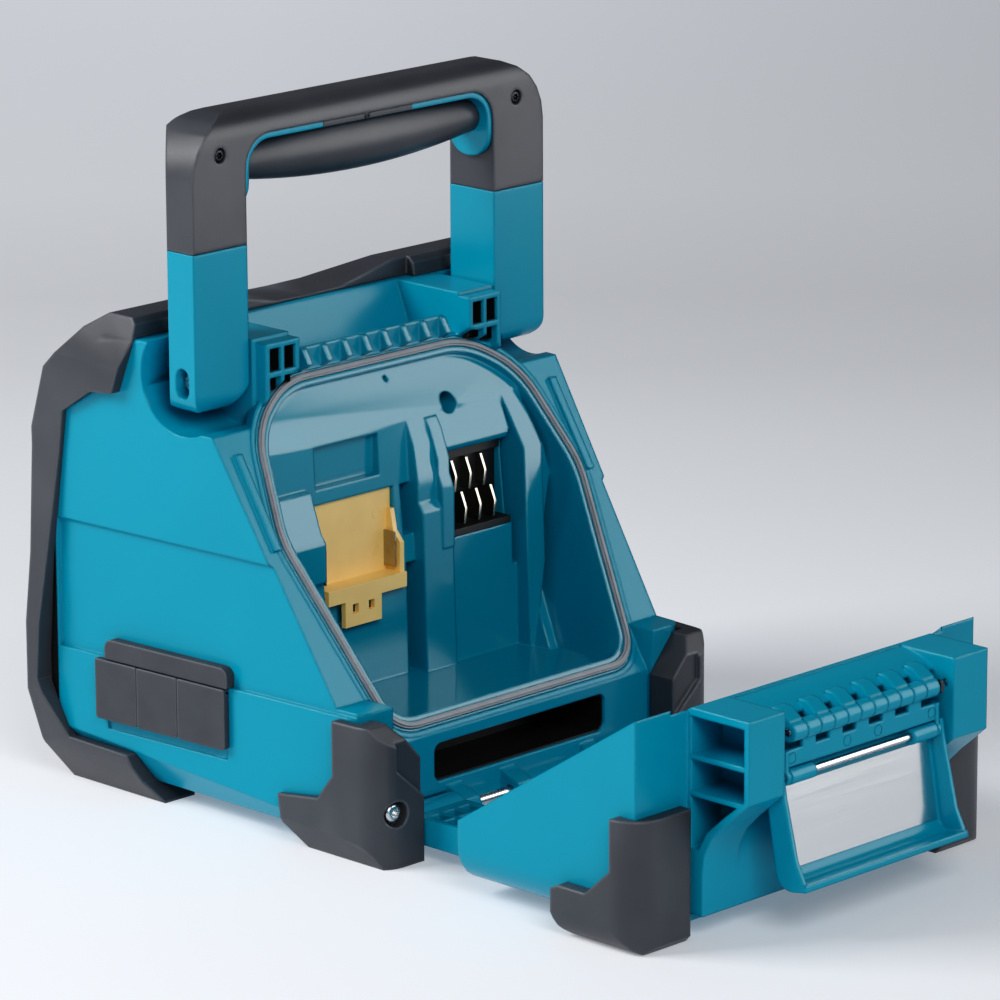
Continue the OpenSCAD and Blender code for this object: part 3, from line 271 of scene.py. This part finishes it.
def make_materials():
    """Makes every finish once, from the colours in the panel."""
    finish = bpy.context.scene.speaker_finish
    hard, soft, trim = finish.hard_edge, finish.soft_edge, finish.trim_edge
    # ABS from a polished, lightly blasted tool: clean colour and a soft sheen, with faint flow marks.
    # The blasted texture is finer than a pixel, so it is drawn at 1.5 mm to show at all
    MATERIALS["teal"] = surface(
        "Teal ABS, moulded",
        finish.teal,
        spread=0.03,
        patch=70 * MM,
        rough=(0.18, 0.27),
        grain=1.5 * MM,
        relief=0.006 * MM,
        edge=hard,
        IOR=1.53,
        Specular_IOR_Level=0.24,
    )
    # The bay comes from a polished tool, so its walls mirror the terminals and the light outside. Its teal
    # is darker than the housing's, as painted shade in the recess
    MATERIALS["bay"] = surface(
        "Teal ABS, polished",
        finish.bay,
        spread=0.03,
        patch=70 * MM,
        rough=(0.1, 0.17),
        grain=1.5 * MM,
        relief=0.003 * MM,
        edge=hard,
        IOR=1.53,
    )
    # Black ABS is left matt from the tool. The black linings in the housing's hollows take it too, as
    # painted shade that keeps them dark
    MATERIALS["black"] = surface(
        "Black ABS, moulded",
        finish.black,
        spread=0.08,
        patch=40 * MM,
        rough=(0.4, 0.52),
        grain=1.5 * MM,
        relief=0.01 * MM,
        edge=trim,
        IOR=1.53,
    )
    # Thermoplastic elastomer over a grained tool: dark and nearly matt, paler along the edges, partly where
    # hands rub them and partly as a painted highlight
    MATERIALS["elastomer"] = surface(
        "Grey elastomer, overmoulded",
        finish.elastomer,
        spread=0.14,
        patch=35 * MM,
        rough=(0.34, 0.5),
        grain=finish.grain,
        relief=0.05 * MM,
        edge=soft,
        wear_and_highlight=finish.wear_and_highlight,
        IOR=1.48,
    )
    # Flaps are the same rubber from a finer tool, so their edges stay sharp; they turn paler there, partly
    # wear and partly a painted highlight
    MATERIALS["flap"] = surface(
        "Grey elastomer, moulded flaps",
        finish.elastomer,
        spread=0.1,
        patch=18 * MM,
        rough=(0.5, 0.62),
        grain=finish.grain,
        relief=0.03 * MM,
        edge=hard,
        wear_and_highlight=finish.wear_and_highlight,
        IOR=1.48,
    )
    # Silicone keeps a waxy half gloss and picks up dust in patches
    MATERIALS["seal"] = surface(
        "Grey silicone, extruded",
        finish.seal,
        spread=0.1,
        patch=9 * MM,
        rough=(0.38, 0.55),
        grain=0.8 * MM,
        relief=0.02 * MM,
        edge=trim,
        IOR=1.43,
    )
    # Key silicone is matt, and fingers leave it a little uneven
    MATERIALS["keys"] = surface(
        "Black silicone keys, moulded",
        linear("#202123"),
        spread=0.1,
        patch=8 * MM,
        rough=(0.5, 0.66),
        grain=0.7 * MM,
        relief=0.02 * MM,
        edge=trim,
        IOR=1.43,
    )
    # Nylon looks milky and slightly uneven, because it takes up water and flows in streaks
    MATERIALS["amber"] = surface(
        "Amber nylon, moulded",
        finish.amber,
        spread=0.05,
        patch=14 * MM,
        rough=(0.38, 0.5),
        grain=1.2 * MM,
        relief=0.01 * MM,
        edge=trim,
        IOR=1.53,
    )
    # Pad-printed ink lies flat and nearly matt, a little thin in places
    MATERIALS["ink"] = surface(
        "White ink, pad printed",
        linear("#D4D6D8"),
        spread=0.08,
        patch=1.5 * MM,
        rough=(0.55, 0.7),
        grain=0.4 * MM,
        relief=0.004 * MM,
        edge=trim,
    )
    # Zinc plating is bright with a faint cloud in its gloss
    MATERIALS["steel"] = surface(
        "Steel, zinc plated",
        linear("#C6C8CA"),
        spread=0.05,
        patch=5 * MM,
        rough=(0.18, 0.34),
        grain=1.0 * MM,
        relief=0.004 * MM,
        edge=trim,
        Metallic=1.0,
    )
    # Tin over bronze is pale and bright, with a warm cast
    MATERIALS["contact"] = surface(
        "Contact bronze, tin plated",
        linear("#A8A399"),
        spread=0.06,
        patch=4 * MM,
        rough=(0.16, 0.3),
        grain=0.8 * MM,
        relief=0.004 * MM,
        edge=trim,
        Metallic=1.0,
    )
    # Black oxide is a thin dark skin that lets the metal's sheen through
    MATERIALS["dark_screw"] = surface(
        "Steel, black oxide",
        linear("#3A3B3E"),
        spread=0.12,
        patch=2 * MM,
        rough=(0.34, 0.5),
        grain=0.5 * MM,
        relief=0.004 * MM,
        edge=trim,
        Metallic=1.0,
    )
    # Rolled spring steel is nearly a mirror, which the rolling lines blur across the lever
    MATERIALS["sheet"] = rolled_sheet("Spring steel, rolled", "#D6DADC")
    # Powder coat flows into an orange peel about 1 mm across
    MATERIALS["grille"] = surface(
        "Steel sheet, powder coated",
        linear("#1A1B1D"),
        spread=0.08,
        patch=20 * MM,
        rough=(0.42, 0.56),
        grain=1.0 * MM,
        relief=0.03 * MM,
        edge=trim,
        IOR=1.5,
    )
    # Clear polycarbonate shows what is behind it, with a polished skin
    MATERIALS["lens"] = surface(
        "Polycarbonate lens, moulded",
        linear("#D8E6EA"),
        spread=0.02,
        patch=3 * MM,
        rough=(0.05, 0.12),
        grain=1.0 * MM,
        relief=0.002 * MM,
        edge=trim,
        IOR=1.58,
        Transmission_Weight=0.9,
    )
    # Loudspeaker paper is pressed pulp: black, fibrous and without gloss
    MATERIALS["paper"] = surface(
        "Loudspeaker paper, pressed",
        linear("#2A2B2E"),
        spread=0.16,
        patch=6 * MM,
        rough=(0.78, 0.9),
        grain=1.2 * MM,
        relief=0.08 * MM,
        edge=trim,
    )
    # Solder mask is a thin green lacquer that pools between the copper tracks
    MATERIALS["board"] = surface(
        "Circuit laminate, solder mask",
        linear("#1F6B45"),
        spread=0.18,
        patch=3 * MM,
        rough=(0.3, 0.45),
        grain=1.0 * MM,
        relief=0.03 * MM,
        edge=trim,
        IOR=1.5,
    )


# Shape helpers


def spot(x, y, z):
    """Place in the frame, from millimetres in the drawing's working axes."""
    return Vector((x * MM, y * MM + WORK_Y, z * MM))


def skin(work, rings, capped=True):
    """Joins rings of points in order, and closes both ends or runs the last ring into the first."""
    rows = [[work.verts.new(point) for point in ring] for ring in rings]
    if capped:
        work.faces.new(rows[0])
        work.faces.new(rows[-1])
    else:
        rows.append(rows[0])
    for row, other in zip(rows, rows[1:]):
        for k in range(len(row)):
            after = (k + 1) % len(row)
            work.faces.new((row[k], row[after], other[after], other[k]))


def lathe(work, centre, profile, capped=True, steps=48):
    """Turns a profile about the Y axis through a centre, all in millimetres.

    Each profile point has a radius, a height along Y and, for a six-lobed socket, the depth of its lobes.
    """
    rings = []
    for radius, height, *lobe in profile:
        ring = []
        for k in range(steps):
            turn = math.tau * k / steps
            reach = radius + sum(lobe) * math.cos(6 * turn)
            across, up = reach * math.cos(turn), reach * math.sin(turn)
            ring.append(spot(centre[0] + across, centre[1] + height, centre[2] + up))
        rings.append(ring)
    skin(work, rings, capped)


def plate(work, outline, seat, face, edge):
    """Flat plate from an outline in X and Z, between two depths along Y, with a chamfer round its face."""
    middle = sum((Vector(p) for p in outline), Vector((0, 0))) / len(outline)
    step = edge if face > seat else -edge
    rings = []
    for depth, shrink in ((seat, 0), (face - step, 0), (face, edge)):
        moved = [Vector(p) + (middle - Vector(p)).normalized() * shrink for p in outline]
        rings.append([spot(p.x, depth, p.y) for p in moved])
    skin(work, rings)


def tray(work, low, high, radius, mouth, floor, wall):
    """Thin open tray that lines a recess: its mouth faces +Y, and its outline has rounded corners."""
    outer = rounded_box(low, high, radius)
    inner = rounded_box(
        (low[0] + wall, low[1] + wall), (high[0] - wall, high[1] - wall), max(0.2, radius - wall)
    )
    order = ((inner, floor + wall), (inner, mouth), (outer, mouth), (outer, floor))
    skin(work, [[spot(x, depth, z) for x, z in outline] for outline, depth in order])


def arc(centre, radius, start, stop, steps):
    """Points along an arc, with its angles in degrees."""
    turns = [math.radians(start + (stop - start) * k / steps) for k in range(steps + 1)]
    return [(centre[0] + radius * math.cos(t), centre[1] + radius * math.sin(t)) for t in turns]


def rounded_box(low, high, radius):
    """Box outline with rounded corners."""
    corners = ((high[0], low[1], -90), (high[0], high[1], 0), (low[0], high[1], 90), (low[0], low[1], 180))
    outline = []
    for x, z, start in corners:
        across = math.copysign(radius, low[0] + high[0] - 2 * x)
        up = math.copysign(radius, low[1] + high[1] - 2 * z)
        outline += arc((x + across, z + up), radius, start, start + 90, 5)
    return outline


def band(centre, radius, width, start, stop):
    """Outline of a curved band."""
    outer = arc(centre, radius + width / 2, start, stop, 20)
    return outer + arc(centre, radius - width / 2, stop, start, 20)


def screw(work, centre, head, height, shank, depth, pin):
    """Button head screw that faces +Y, with a six-lobed socket; a pinned one has a post in its socket."""
    socket, lobe, floor = head * 0.44, head * 0.06, height * 0.35
    profile = [
        (shank, -depth),
        (shank, 0),
        (head, 0),
        (head, height * 0.25),
        (head * 0.95, height * 0.6),
        (head * 0.82, height * 0.87),
        (head * 0.62, height),
        (socket, height, lobe),
        (socket, floor, lobe),
    ]
    if pin:
        profile += [(socket * 0.4, floor), (socket * 0.4, height * 0.8), (socket * 0.2, height * 0.92)]
    lathe(work, centre, profile)


def ring_mark(work, centre, radius):
    """Fine raised ring, as an ejector pin leaves on a moulding."""
    lathe(
        work,
        centre,
        [(radius - 0.3, -0.1), (radius - 0.2, 0.12), (radius, 0.14), (radius + 0.1, -0.1)],
        capped=False,
        steps=32,
    )


def crease(piece):
    """Shades a piece smoothly, with its real edges kept crisp."""
    piece.data.shade_smooth()
    join = piece.modifiers.new("Join", "WELD")
    join.merge_threshold = 0.002 * MM
    split = piece.modifiers.new("Crease", "EDGE_SPLIT")
    split.split_angle = math.radians(32)
    even = piece.modifiers.new("Even", "WEIGHTED_NORMAL")
    even.keep_sharp = True


def dress(material, *nodes):
    """Gives CAD nodes one of the finishes."""
    for node in nodes:
        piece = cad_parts[node]
        piece.data.materials.clear()
        piece.data.materials.append(MATERIALS[material])
        crease(piece)


def piece_from(name, maker, material, body, slot, *stands_for):
    """New piece from a bmesh recipe, on a body; it may stand for CAD nodes. The slot that it takes is not
    used.
    """
    mesh = bpy.data.meshes.new(name)
    work = bmesh.new()
    maker(work)
    bmesh.ops.recalc_face_normals(work, faces=work.faces)
    work.to_mesh(mesh)
    work.free()
    mesh.materials.append(MATERIALS[material])
    piece = bpy.data.objects.new(name, mesh)
    bpy.context.collection.objects.link(piece)
    crease(piece)
    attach(piece, body)
    if stands_for:
        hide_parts(*stands_for)


class SpeakerOperator:
    """Shared options of the operators below."""

    bl_options = {"REGISTER", "UNDO"}


class SPEAKER_OT_finishes(SpeakerOperator, bpy.types.Operator):
    """Make the finishes that the pieces share"""

    bl_idname = "speaker.finishes"
    bl_label = "Finishes"

    def execute(self, context):
        make_materials()
        return {"FINISHED"}


class SPEAKER_OT_housing(SpeakerOperator, bpy.types.Operator):
    """Dress the rear housing, and line the recesses in its back with black, as painted shade"""

    bl_idname = "speaker.housing"
    bl_label = "Housing"

    def execute(self, context):
        dress("teal", "rear_housing")
        dress("bay", "bay_frame")
        piece_from("slot_shade_liner", self.slot, "black", "cabinet", "black_abs")
        piece_from("window_shade_liners", self.windows, "black", "cabinet", "black_abs")
        return {"FINISHED"}

    def slot(self, work):
        """Black lining of the long slot under the bay, as painted shade."""
        tray(work, (-51.9, 24.1), (51.9, 40.9), radius=3.9, mouth=79.4, floor=50.1, wall=0.7)

    def windows(self, work):
        """Black linings of the four cored windows in each handle block, as painted shade."""
        # Inner edge, lowest and highest point, and how far out the lining comes, which the seal limits
        shapes = (
            (53.25, 184.2, 188.55, -2.5),
            (61.65, 182.2, 188.55, -2.5),
            (53.25, 191.05, 201.15, -0.6),
            (61.65, 191.05, 201.15, -0.6),
        )
        width = 6.5
        for side in (1, -1):
            for x, low, high, mouth in shapes:
                left, right = sorted((side * x, side * (x + width)))
                tray(work, (left, low), (right, high), radius=0.3, mouth=mouth, floor=-5.65, wall=0.15)


class SPEAKER_OT_bumpers(SpeakerOperator, bpy.types.Operator):
    """Dress the soft corner bumpers, and make the screws that hold the rear ones"""

    bl_idname = "speaker.bumpers"
    bl_label = "Bumpers"

    def execute(self, context):
        dress("elastomer", "front_bumper", "rear_bumper_left", "rear_bumper_right")
        dress("elastomer", "door_bumper_left", "door_bumper_right")
        piece_from("bumper_screw_heads", self.screws, "steel", "cabinet", "zinc_steel", "bumper_screws")
        return {"FINISHED"}

    def screws(self, work):
        """One screw in each rear bumper."""
        head = bpy.context.scene.speaker_trim.bumper_screw / MM
        for x in (92, -92):
            screw(work, (x, 95, 23.5), head, height=2.9, shank=2.0, depth=10.6, pin=False)


class SPEAKER_OT_front(SpeakerOperator, bpy.types.Operator):
    """Dress the speaker front, and make the woofer's diaphragm and the marks on the keys"""

    bl_idname = "speaker.front"
    bl_label = "Front"

    def execute(self, context):
        dress("black", "front_baffle", "woofer_basket", "tweeters")
        dress("steel", "woofer_magnet")
        dress("grille", "speaker_grille")
        dress("elastomer", "control_panel")
        dress("keys", "power_button", "pairing_button", "play_button")
        dress("keys", "volume_down_button", "volume_up_button")
        dress("lens", "status_lens")
        dress("board", "main_board", "port_board")
        piece_from("woofer_diaphragm", self.diaphragm, "paper", "cabinet", "cone_paper", "woofer_cone")
        piece_from("woofer_surround", self.surround, "keys", "cabinet", "button_rubber")
        for key, x, outlines in self.marks():
            piece_from(
                key + "_mark",
                lambda work, x=x, outlines=outlines: self.mark(work, x, outlines),
                "ink",
                key + "_key",
                "seal_rubber",
            )
        return {"FINISHED"}

    def diaphragm(self, work):
        """Pressed paper cone with a domed dust cap and three stiffening ribs."""
        dome = [(0.4 + 13.2 * k / 8, 11.6 + 5.4 * (k / 8) ** 2) for k in range(9)]
        cone = []
        for k in range(25):
            out = k / 24
            rib = 0.35 * math.exp(-(((out * 4) % 1 - 0.5) ** 2) / 0.02) if 0.2 < out < 0.95 else 0.0
            cone.append((14.2 + 19.2 * out, 18 - 15.2 * out**0.9 - rib))
        back = [(33.4, 4.4), (14.5, 19.8), (0.4, 19.8)]
        lathe(work, WOOFER_MIDDLE, dome + cone + back, steps=96)

    def surround(self, work):
        """Rubber half roll between the cone and the basket."""
        middle = 37.4
        turns = [math.pi * k / 12 for k in range(13)]
        roll = [(middle - 4.2 * math.cos(t), 2.4 - 3.0 * math.sin(t)) for t in turns]
        under = [(middle + 3.6 * math.cos(t), 2.9 - 2.3 * math.sin(t)) for t in turns]
        lathe(work, WOOFER_MIDDLE, roll + under, capped=False, steps=96)

    def marks(self):
        """Each key's body, its place and the outlines of the plain sign on it."""
        bar = rounded_box((-2.6, -0.4), (2.6, 0.4), 0.2)
        post = rounded_box((-0.4, -2.6), (0.4, 2.6), 0.2)
        ring = band((0, -0.2), 2.3, 0.7, 125, 415)
        stub = rounded_box((-0.35, 0.3), (0.35, 2.9), 0.2)
        waves = [band((0, -2.2), r, 0.7, 45, 135) for r in (2.4, 4.2)]
        dot = arc((0, -2.2), 0.7, 0, 345, 23)
        arrow = [(-1.5, -2.3), (2.5, 0), (-1.5, 2.3)]
        return (
            ("power", -64, [ring, stub]),
            ("pairing", -32, [*waves, dot]),
            ("play", 0, [arrow]),
            ("volume_down", 32, [bar]),
            ("volume_up", 64, [bar, post]),
        )

    def mark(self, work, x, outlines):
        """Sign in the dish of a key, read from the front, where +X is on the right."""
        for outline in outlines:
            placed = [(x + across, KEY_ROW_HEIGHT + up) for across, up in outline]
            plate(work, placed, seat=-99.4, face=-100.25, edge=0.06)


class SPEAKER_OT_sockets(SpeakerOperator, bpy.types.Operator):
    """Dress the sockets and the rubber flaps that cover them"""

    bl_idname = "speaker.sockets"
    bl_label = "Sockets"

    def execute(self, context):
        dress("flap", "port_cover_strip", "usb_flap", "audio_flap", "charger_flap")
        dress("steel", "usb_socket")
        dress("black", "audio_socket", "charger_socket")
        return {"FINISHED"}


class SPEAKER_OT_bay(SpeakerOperator, bpy.types.Operator):
    """Dress the battery bay: seal and terminals"""

    bl_idname = "speaker.bay"
    bl_label = "Battery bay"

    def execute(self, context):
        dress("seal", "bay_gasket")
        dress("amber", "slide_pack_terminal")
        dress("black", "stick_pack_terminal")
        dress("contact", "slide_pack_blades", "stick_pack_blades")
        piece_from("tray_marks", self.marks, "amber", "cabinet", "amber_nylon")
        return {"FINISHED"}

    def marks(self, work):
        """Ejector marks on the amber tray."""
        radius = bpy.context.scene.speaker_trim.ejector / MM
        for z in (120, 103):
            ring_mark(work, (11.4, 5.4, z), radius)


class SPEAKER_OT_handle(SpeakerOperator, bpy.types.Operator):
    """Dress the carry handle, and make its screws and the insert in its strip"""

    bl_idname = "speaker.handle"
    bl_label = "Handle"

    def execute(self, context):
        dress("teal", "handle_frame")
        dress("elastomer", "handle_cover", "handle_grip")
        dress("steel", "handle_pivot_pins")
        piece_from(
            "handle_screw_heads", self.screws, "dark_screw", "handle", "black_screw", "handle_screws"
        )
        piece_from("strip_insert", self.insert, "flap", "handle", "grey_elastomer")
        piece_from("strip_screw", self.strip_screw, "dark_screw", "handle", "black_screw")
        return {"FINISHED"}

    def screws(self, work):
        """Pinned screws that hold the soft cover."""
        head = bpy.context.scene.speaker_trim.handle_screw / MM
        for x in (88, -88):
            screw(work, (x, -8.4, 286), head, height=1.8, shank=1.3, depth=9.6, pin=True)

    def insert(self, work):
        """Plain insert in the middle of the bright strip."""
        plate(work, rounded_box((-25, 289.5), (28, 291.9), 0.3), seat=-9, face=-6.8, edge=0.2)

    def strip_screw(self, work):
        """Small screw in the insert."""
        screw(work, (2, -7.2, 290.7), head=1.8, height=0.7, shank=0.9, depth=3, pin=True)


class SPEAKER_OT_door(SpeakerOperator, bpy.types.Operator):
    """Dress the let-down battery door"""

    bl_idname = "speaker.door"
    bl_label = "Battery door"

    def execute(self, context):
        dress("teal", "battery_door")
        dress("steel", "door_hinge_pin")
        return {"FINISHED"}


class SPEAKER_OT_latch(SpeakerOperator, bpy.types.Operator):
    """Dress the over-centre latch, and make the clip on its hinge pin"""

    bl_idname = "speaker.latch"
    bl_label = "Latch"

    def execute(self, context):
        dress("teal", "latch_link", "latch_lever")
        dress("steel", "latch_hinge_pin", "latch_rod")
        dress("sheet", "lever_plate")
        piece_from("link_marks", self.marks, "teal", "link", "teal_abs")
        piece_from("pin_clip", self.clip, "black", "door", "black_abs")
        return {"FINISHED"}

    def marks(self, work):
        """Ejector marks on the link's web."""
        radius = bpy.context.scene.speaker_trim.ejector / MM
        for x in (42.6, 9.4, -9.5, -42.6):
            ring_mark(work, (x, 273.4, 74.3), radius)

    def clip(self, work):
        """Push-on clip at the end of the hinge pin, over the last knuckle."""
        plate(work, rounded_box((-47.4, 82.4), (-45.2, 87.8), 0.9), seat=268.4, face=275.8, edge=0.5)


class SPEAKER_OT_stage(SpeakerOperator, bpy.types.Operator):
    """Set the floor, the lights and the camera"""

    bl_idname = "speaker.stage"
    bl_label = "Stage"

    def execute(self, context):
        stage = context.scene.speaker_stage
        self.floor(stage)
        self.lights(context.scene, stage)
        self.camera(context.scene, stage)
        self.exposure(context.scene.view_settings)
        return {"FINISHED"}

    def exposure(self, view):
        """Plain view, with the dark tones drawn down as a product photograph has them."""
        view.view_transform = "Standard"
        view.use_curve_mapping = True
        tones = view.curve_mapping.curves[COMBINED_CURVE].points
        for light, shown in ((0.035, 0.017), (0.12, 0.1), (0.3, 0.3)):
            tones.new(light, shown)
        view.curve_mapping.update()

    def floor(self, stage):
        """Roll of studio paper with a painted glow: its emission stands in for light on it, and no lamp is
        under it.

        The painted glow is bright under the speaker and greyer towards its far end.
        """
        # Matt paper scatters all the light that it gets and mirrors none
        material, tree, shader = blank("Studio paper, matt")
        settle(shader, {"Base_Color": rgba(stage.paper), "Roughness": 0.9, "Specular_IOR_Level": 0.0})
        place = add_node(tree, "ShaderNodeTexCoord").outputs["Object"]
        # Turned so that X runs along the roll, away from where the picture is taken
        heading = (0, 0, math.radians(270) - stage.turn)
        turned = add_node(tree, "ShaderNodeMapping", None, {"Vector": place}, Rotation=heading)
        along = add_node(tree, "ShaderNodeSeparateXYZ", None, {"Vector": turned.outputs["Vector"]})
        reach = add_node(
            tree,
            "ShaderNodeMapRange",
            None,
            {"Value": along.outputs["X"]},
            From_Min=ROLL_START,
            From_Max=ROLL_END,
        )
        tone = add_node(tree, "ShaderNodeValToRGB", None, {"Fac": reach.outputs["Result"]})
        # Painted shade: the glow fades across the roll, darker on the side away from the key
        across = add_node(
            tree,
            "ShaderNodeMapRange",
            None,
            {"Value": along.outputs["Y"]},
            From_Min=-0.35,
            From_Max=0.2,
            To_Min=0.7,
            To_Max=1.05,
        )
        # Metres along the roll, and how much painted glow the paper has there
        painted_glow_stops = (
            (-0.2, 0.21),
            (0.3, 0.21),
            (0.52, 0.155),
            (0.67, 0.13),
            (0.82, 0.085),
            (1.0, 0.085),
            (1.3, 0.195),
            (2.0, 0.33),
        )
        cool_white = (0.97, 1.0, 1.07)
        stops = tone.color_ramp.elements
        while len(stops) < len(painted_glow_stops):
            stops.new(0.5)
        for stop, (metres, glow) in zip(stops, painted_glow_stops):
            stop.position = (metres - ROLL_START) / (ROLL_END - ROLL_START)
            stop.color = rgba(cool_white, glow)
        tree.links.new(tone.outputs["Color"], shader.inputs["Emission Color"])
        tree.links.new(across.outputs["Result"], shader.inputs["Emission Strength"])
        bpy.ops.mesh.primitive_plane_add(size=30)
        floor = bpy.context.object
        floor.name = "Studio floor"
        floor.data.materials.append(material)

    def lights(self, scene, stage):
        """Large soft lights: a key on the socket side, a panel that the back mirrors, and two above."""
        middle = (CAD_BOX[0] + CAD_BOX[1]) / 2
        # Name, watts, width and height, and place from the speaker's middle, in metres
        rig = (
            ("Key light", stage.key, (1.1, 1.1), Vector((1.4, -1.15, 1.2))),
            ("Panel", stage.panel, (0.8, 0.85), Vector((-0.7, 0.75, 0.3))),
            ("Fill light", stage.fill, (1.2, 1.0), Vector((1.0, 1.7, 1.3))),
            ("Top light", stage.top, (1.8, 1.8), Vector((-0.4, -0.2, 2.0))),
        )
        for name, watts, size, offset in rig:
            data = bpy.data.lights.new(name, "AREA")
            data.energy = watts
            data.shape = "RECTANGLE"
            data.size, data.size_y = size
            lamp = bpy.data.objects.new(name, data)
            lamp.location = middle + offset
            lamp.rotation_euler = (-offset).to_track_quat("-Z", "Y").to_euler()
            lamp.visible_camera = False
            # The panel shows only in gloss, so that it lays no edge of light on the floor
            lamp.visible_diffuse = name != "Panel"
            bpy.context.collection.objects.link(lamp)
        world = bpy.data.worlds.new("Studio air")
        world.use_nodes = True
        sky = world.node_tree.nodes["Background"]
        settle(sky, {"Color": rgba(stage.air), "Strength": stage.glow})
        scene.world = world

    def camera(self, scene, stage):
        """Camera at the photograph's angle, aimed at the spot that fills the frame's centre."""
        data = bpy.data.cameras.new("Camera")
        data.sensor_width = SENSOR_WIDTH
        data.lens = stage.lens
        data.clip_end = 100
        camera = bpy.data.objects.new("Camera", data)
        away = Vector(
            (
                math.sin(stage.turn) * math.cos(stage.rise),
                -math.cos(stage.turn) * math.cos(stage.rise),
                math.sin(stage.rise),
            )
        )
        pose = away.to_track_quat("Z", "Y").to_matrix().to_4x4() @ Matrix.Rotation(stage.roll, 4, "Z")
        pose.translation = CAMERA_PLACE
        camera.matrix_world = pose
        bpy.context.collection.objects.link(camera)
        scene.camera = camera


class SPEAKER_PT_panel(bpy.types.Panel):
    """Sizes, colours and the steps that dress the speaker"""

    bl_label = "Jobsite Speaker"
    bl_idname = "SPEAKER_PT_panel"
    bl_space_type = "VIEW_3D"
    bl_region_type = "UI"
    bl_category = "Speaker"

    def draw(self, context):
        scene = context.scene
        for group in (scene.speaker_finish, scene.speaker_trim, scene.speaker_stage):
            for name in group.__annotations__:
                self.layout.prop(group, name)
        for step in STEPS:
            self.layout.operator(step.bl_idname)


STEPS = (
    SPEAKER_OT_finishes,
    SPEAKER_OT_housing,
    SPEAKER_OT_bumpers,
    SPEAKER_OT_front,
    SPEAKER_OT_sockets,
    SPEAKER_OT_bay,
    SPEAKER_OT_handle,
    SPEAKER_OT_door,
    SPEAKER_OT_latch,
    SPEAKER_OT_stage,
)
CLASSES = (SpeakerFinish, SpeakerTrim, SpeakerStage, *STEPS, SPEAKER_PT_panel)


def register():
    """Registers the panel, its settings and its steps."""
    for item in CLASSES:
        bpy.utils.register_class(item)
    bpy.types.Scene.speaker_finish = PointerProperty(type=SpeakerFinish)
    bpy.types.Scene.speaker_trim = PointerProperty(type=SpeakerTrim)
    bpy.types.Scene.speaker_stage = PointerProperty(type=SpeakerStage)


def unregister():
    """Removes what register added."""
    del bpy.types.Scene.speaker_stage
    del bpy.types.Scene.speaker_trim
    del bpy.types.Scene.speaker_finish
    for item in reversed(CLASSES):
        bpy.utils.unregister_class(item)


def main():
    """Runs every step in order."""
    register()
    for step in STEPS:
        group, name = step.bl_idname.split(".")
        getattr(getattr(bpy.ops, group), name)()


if __name__ == "__main__":
    main()
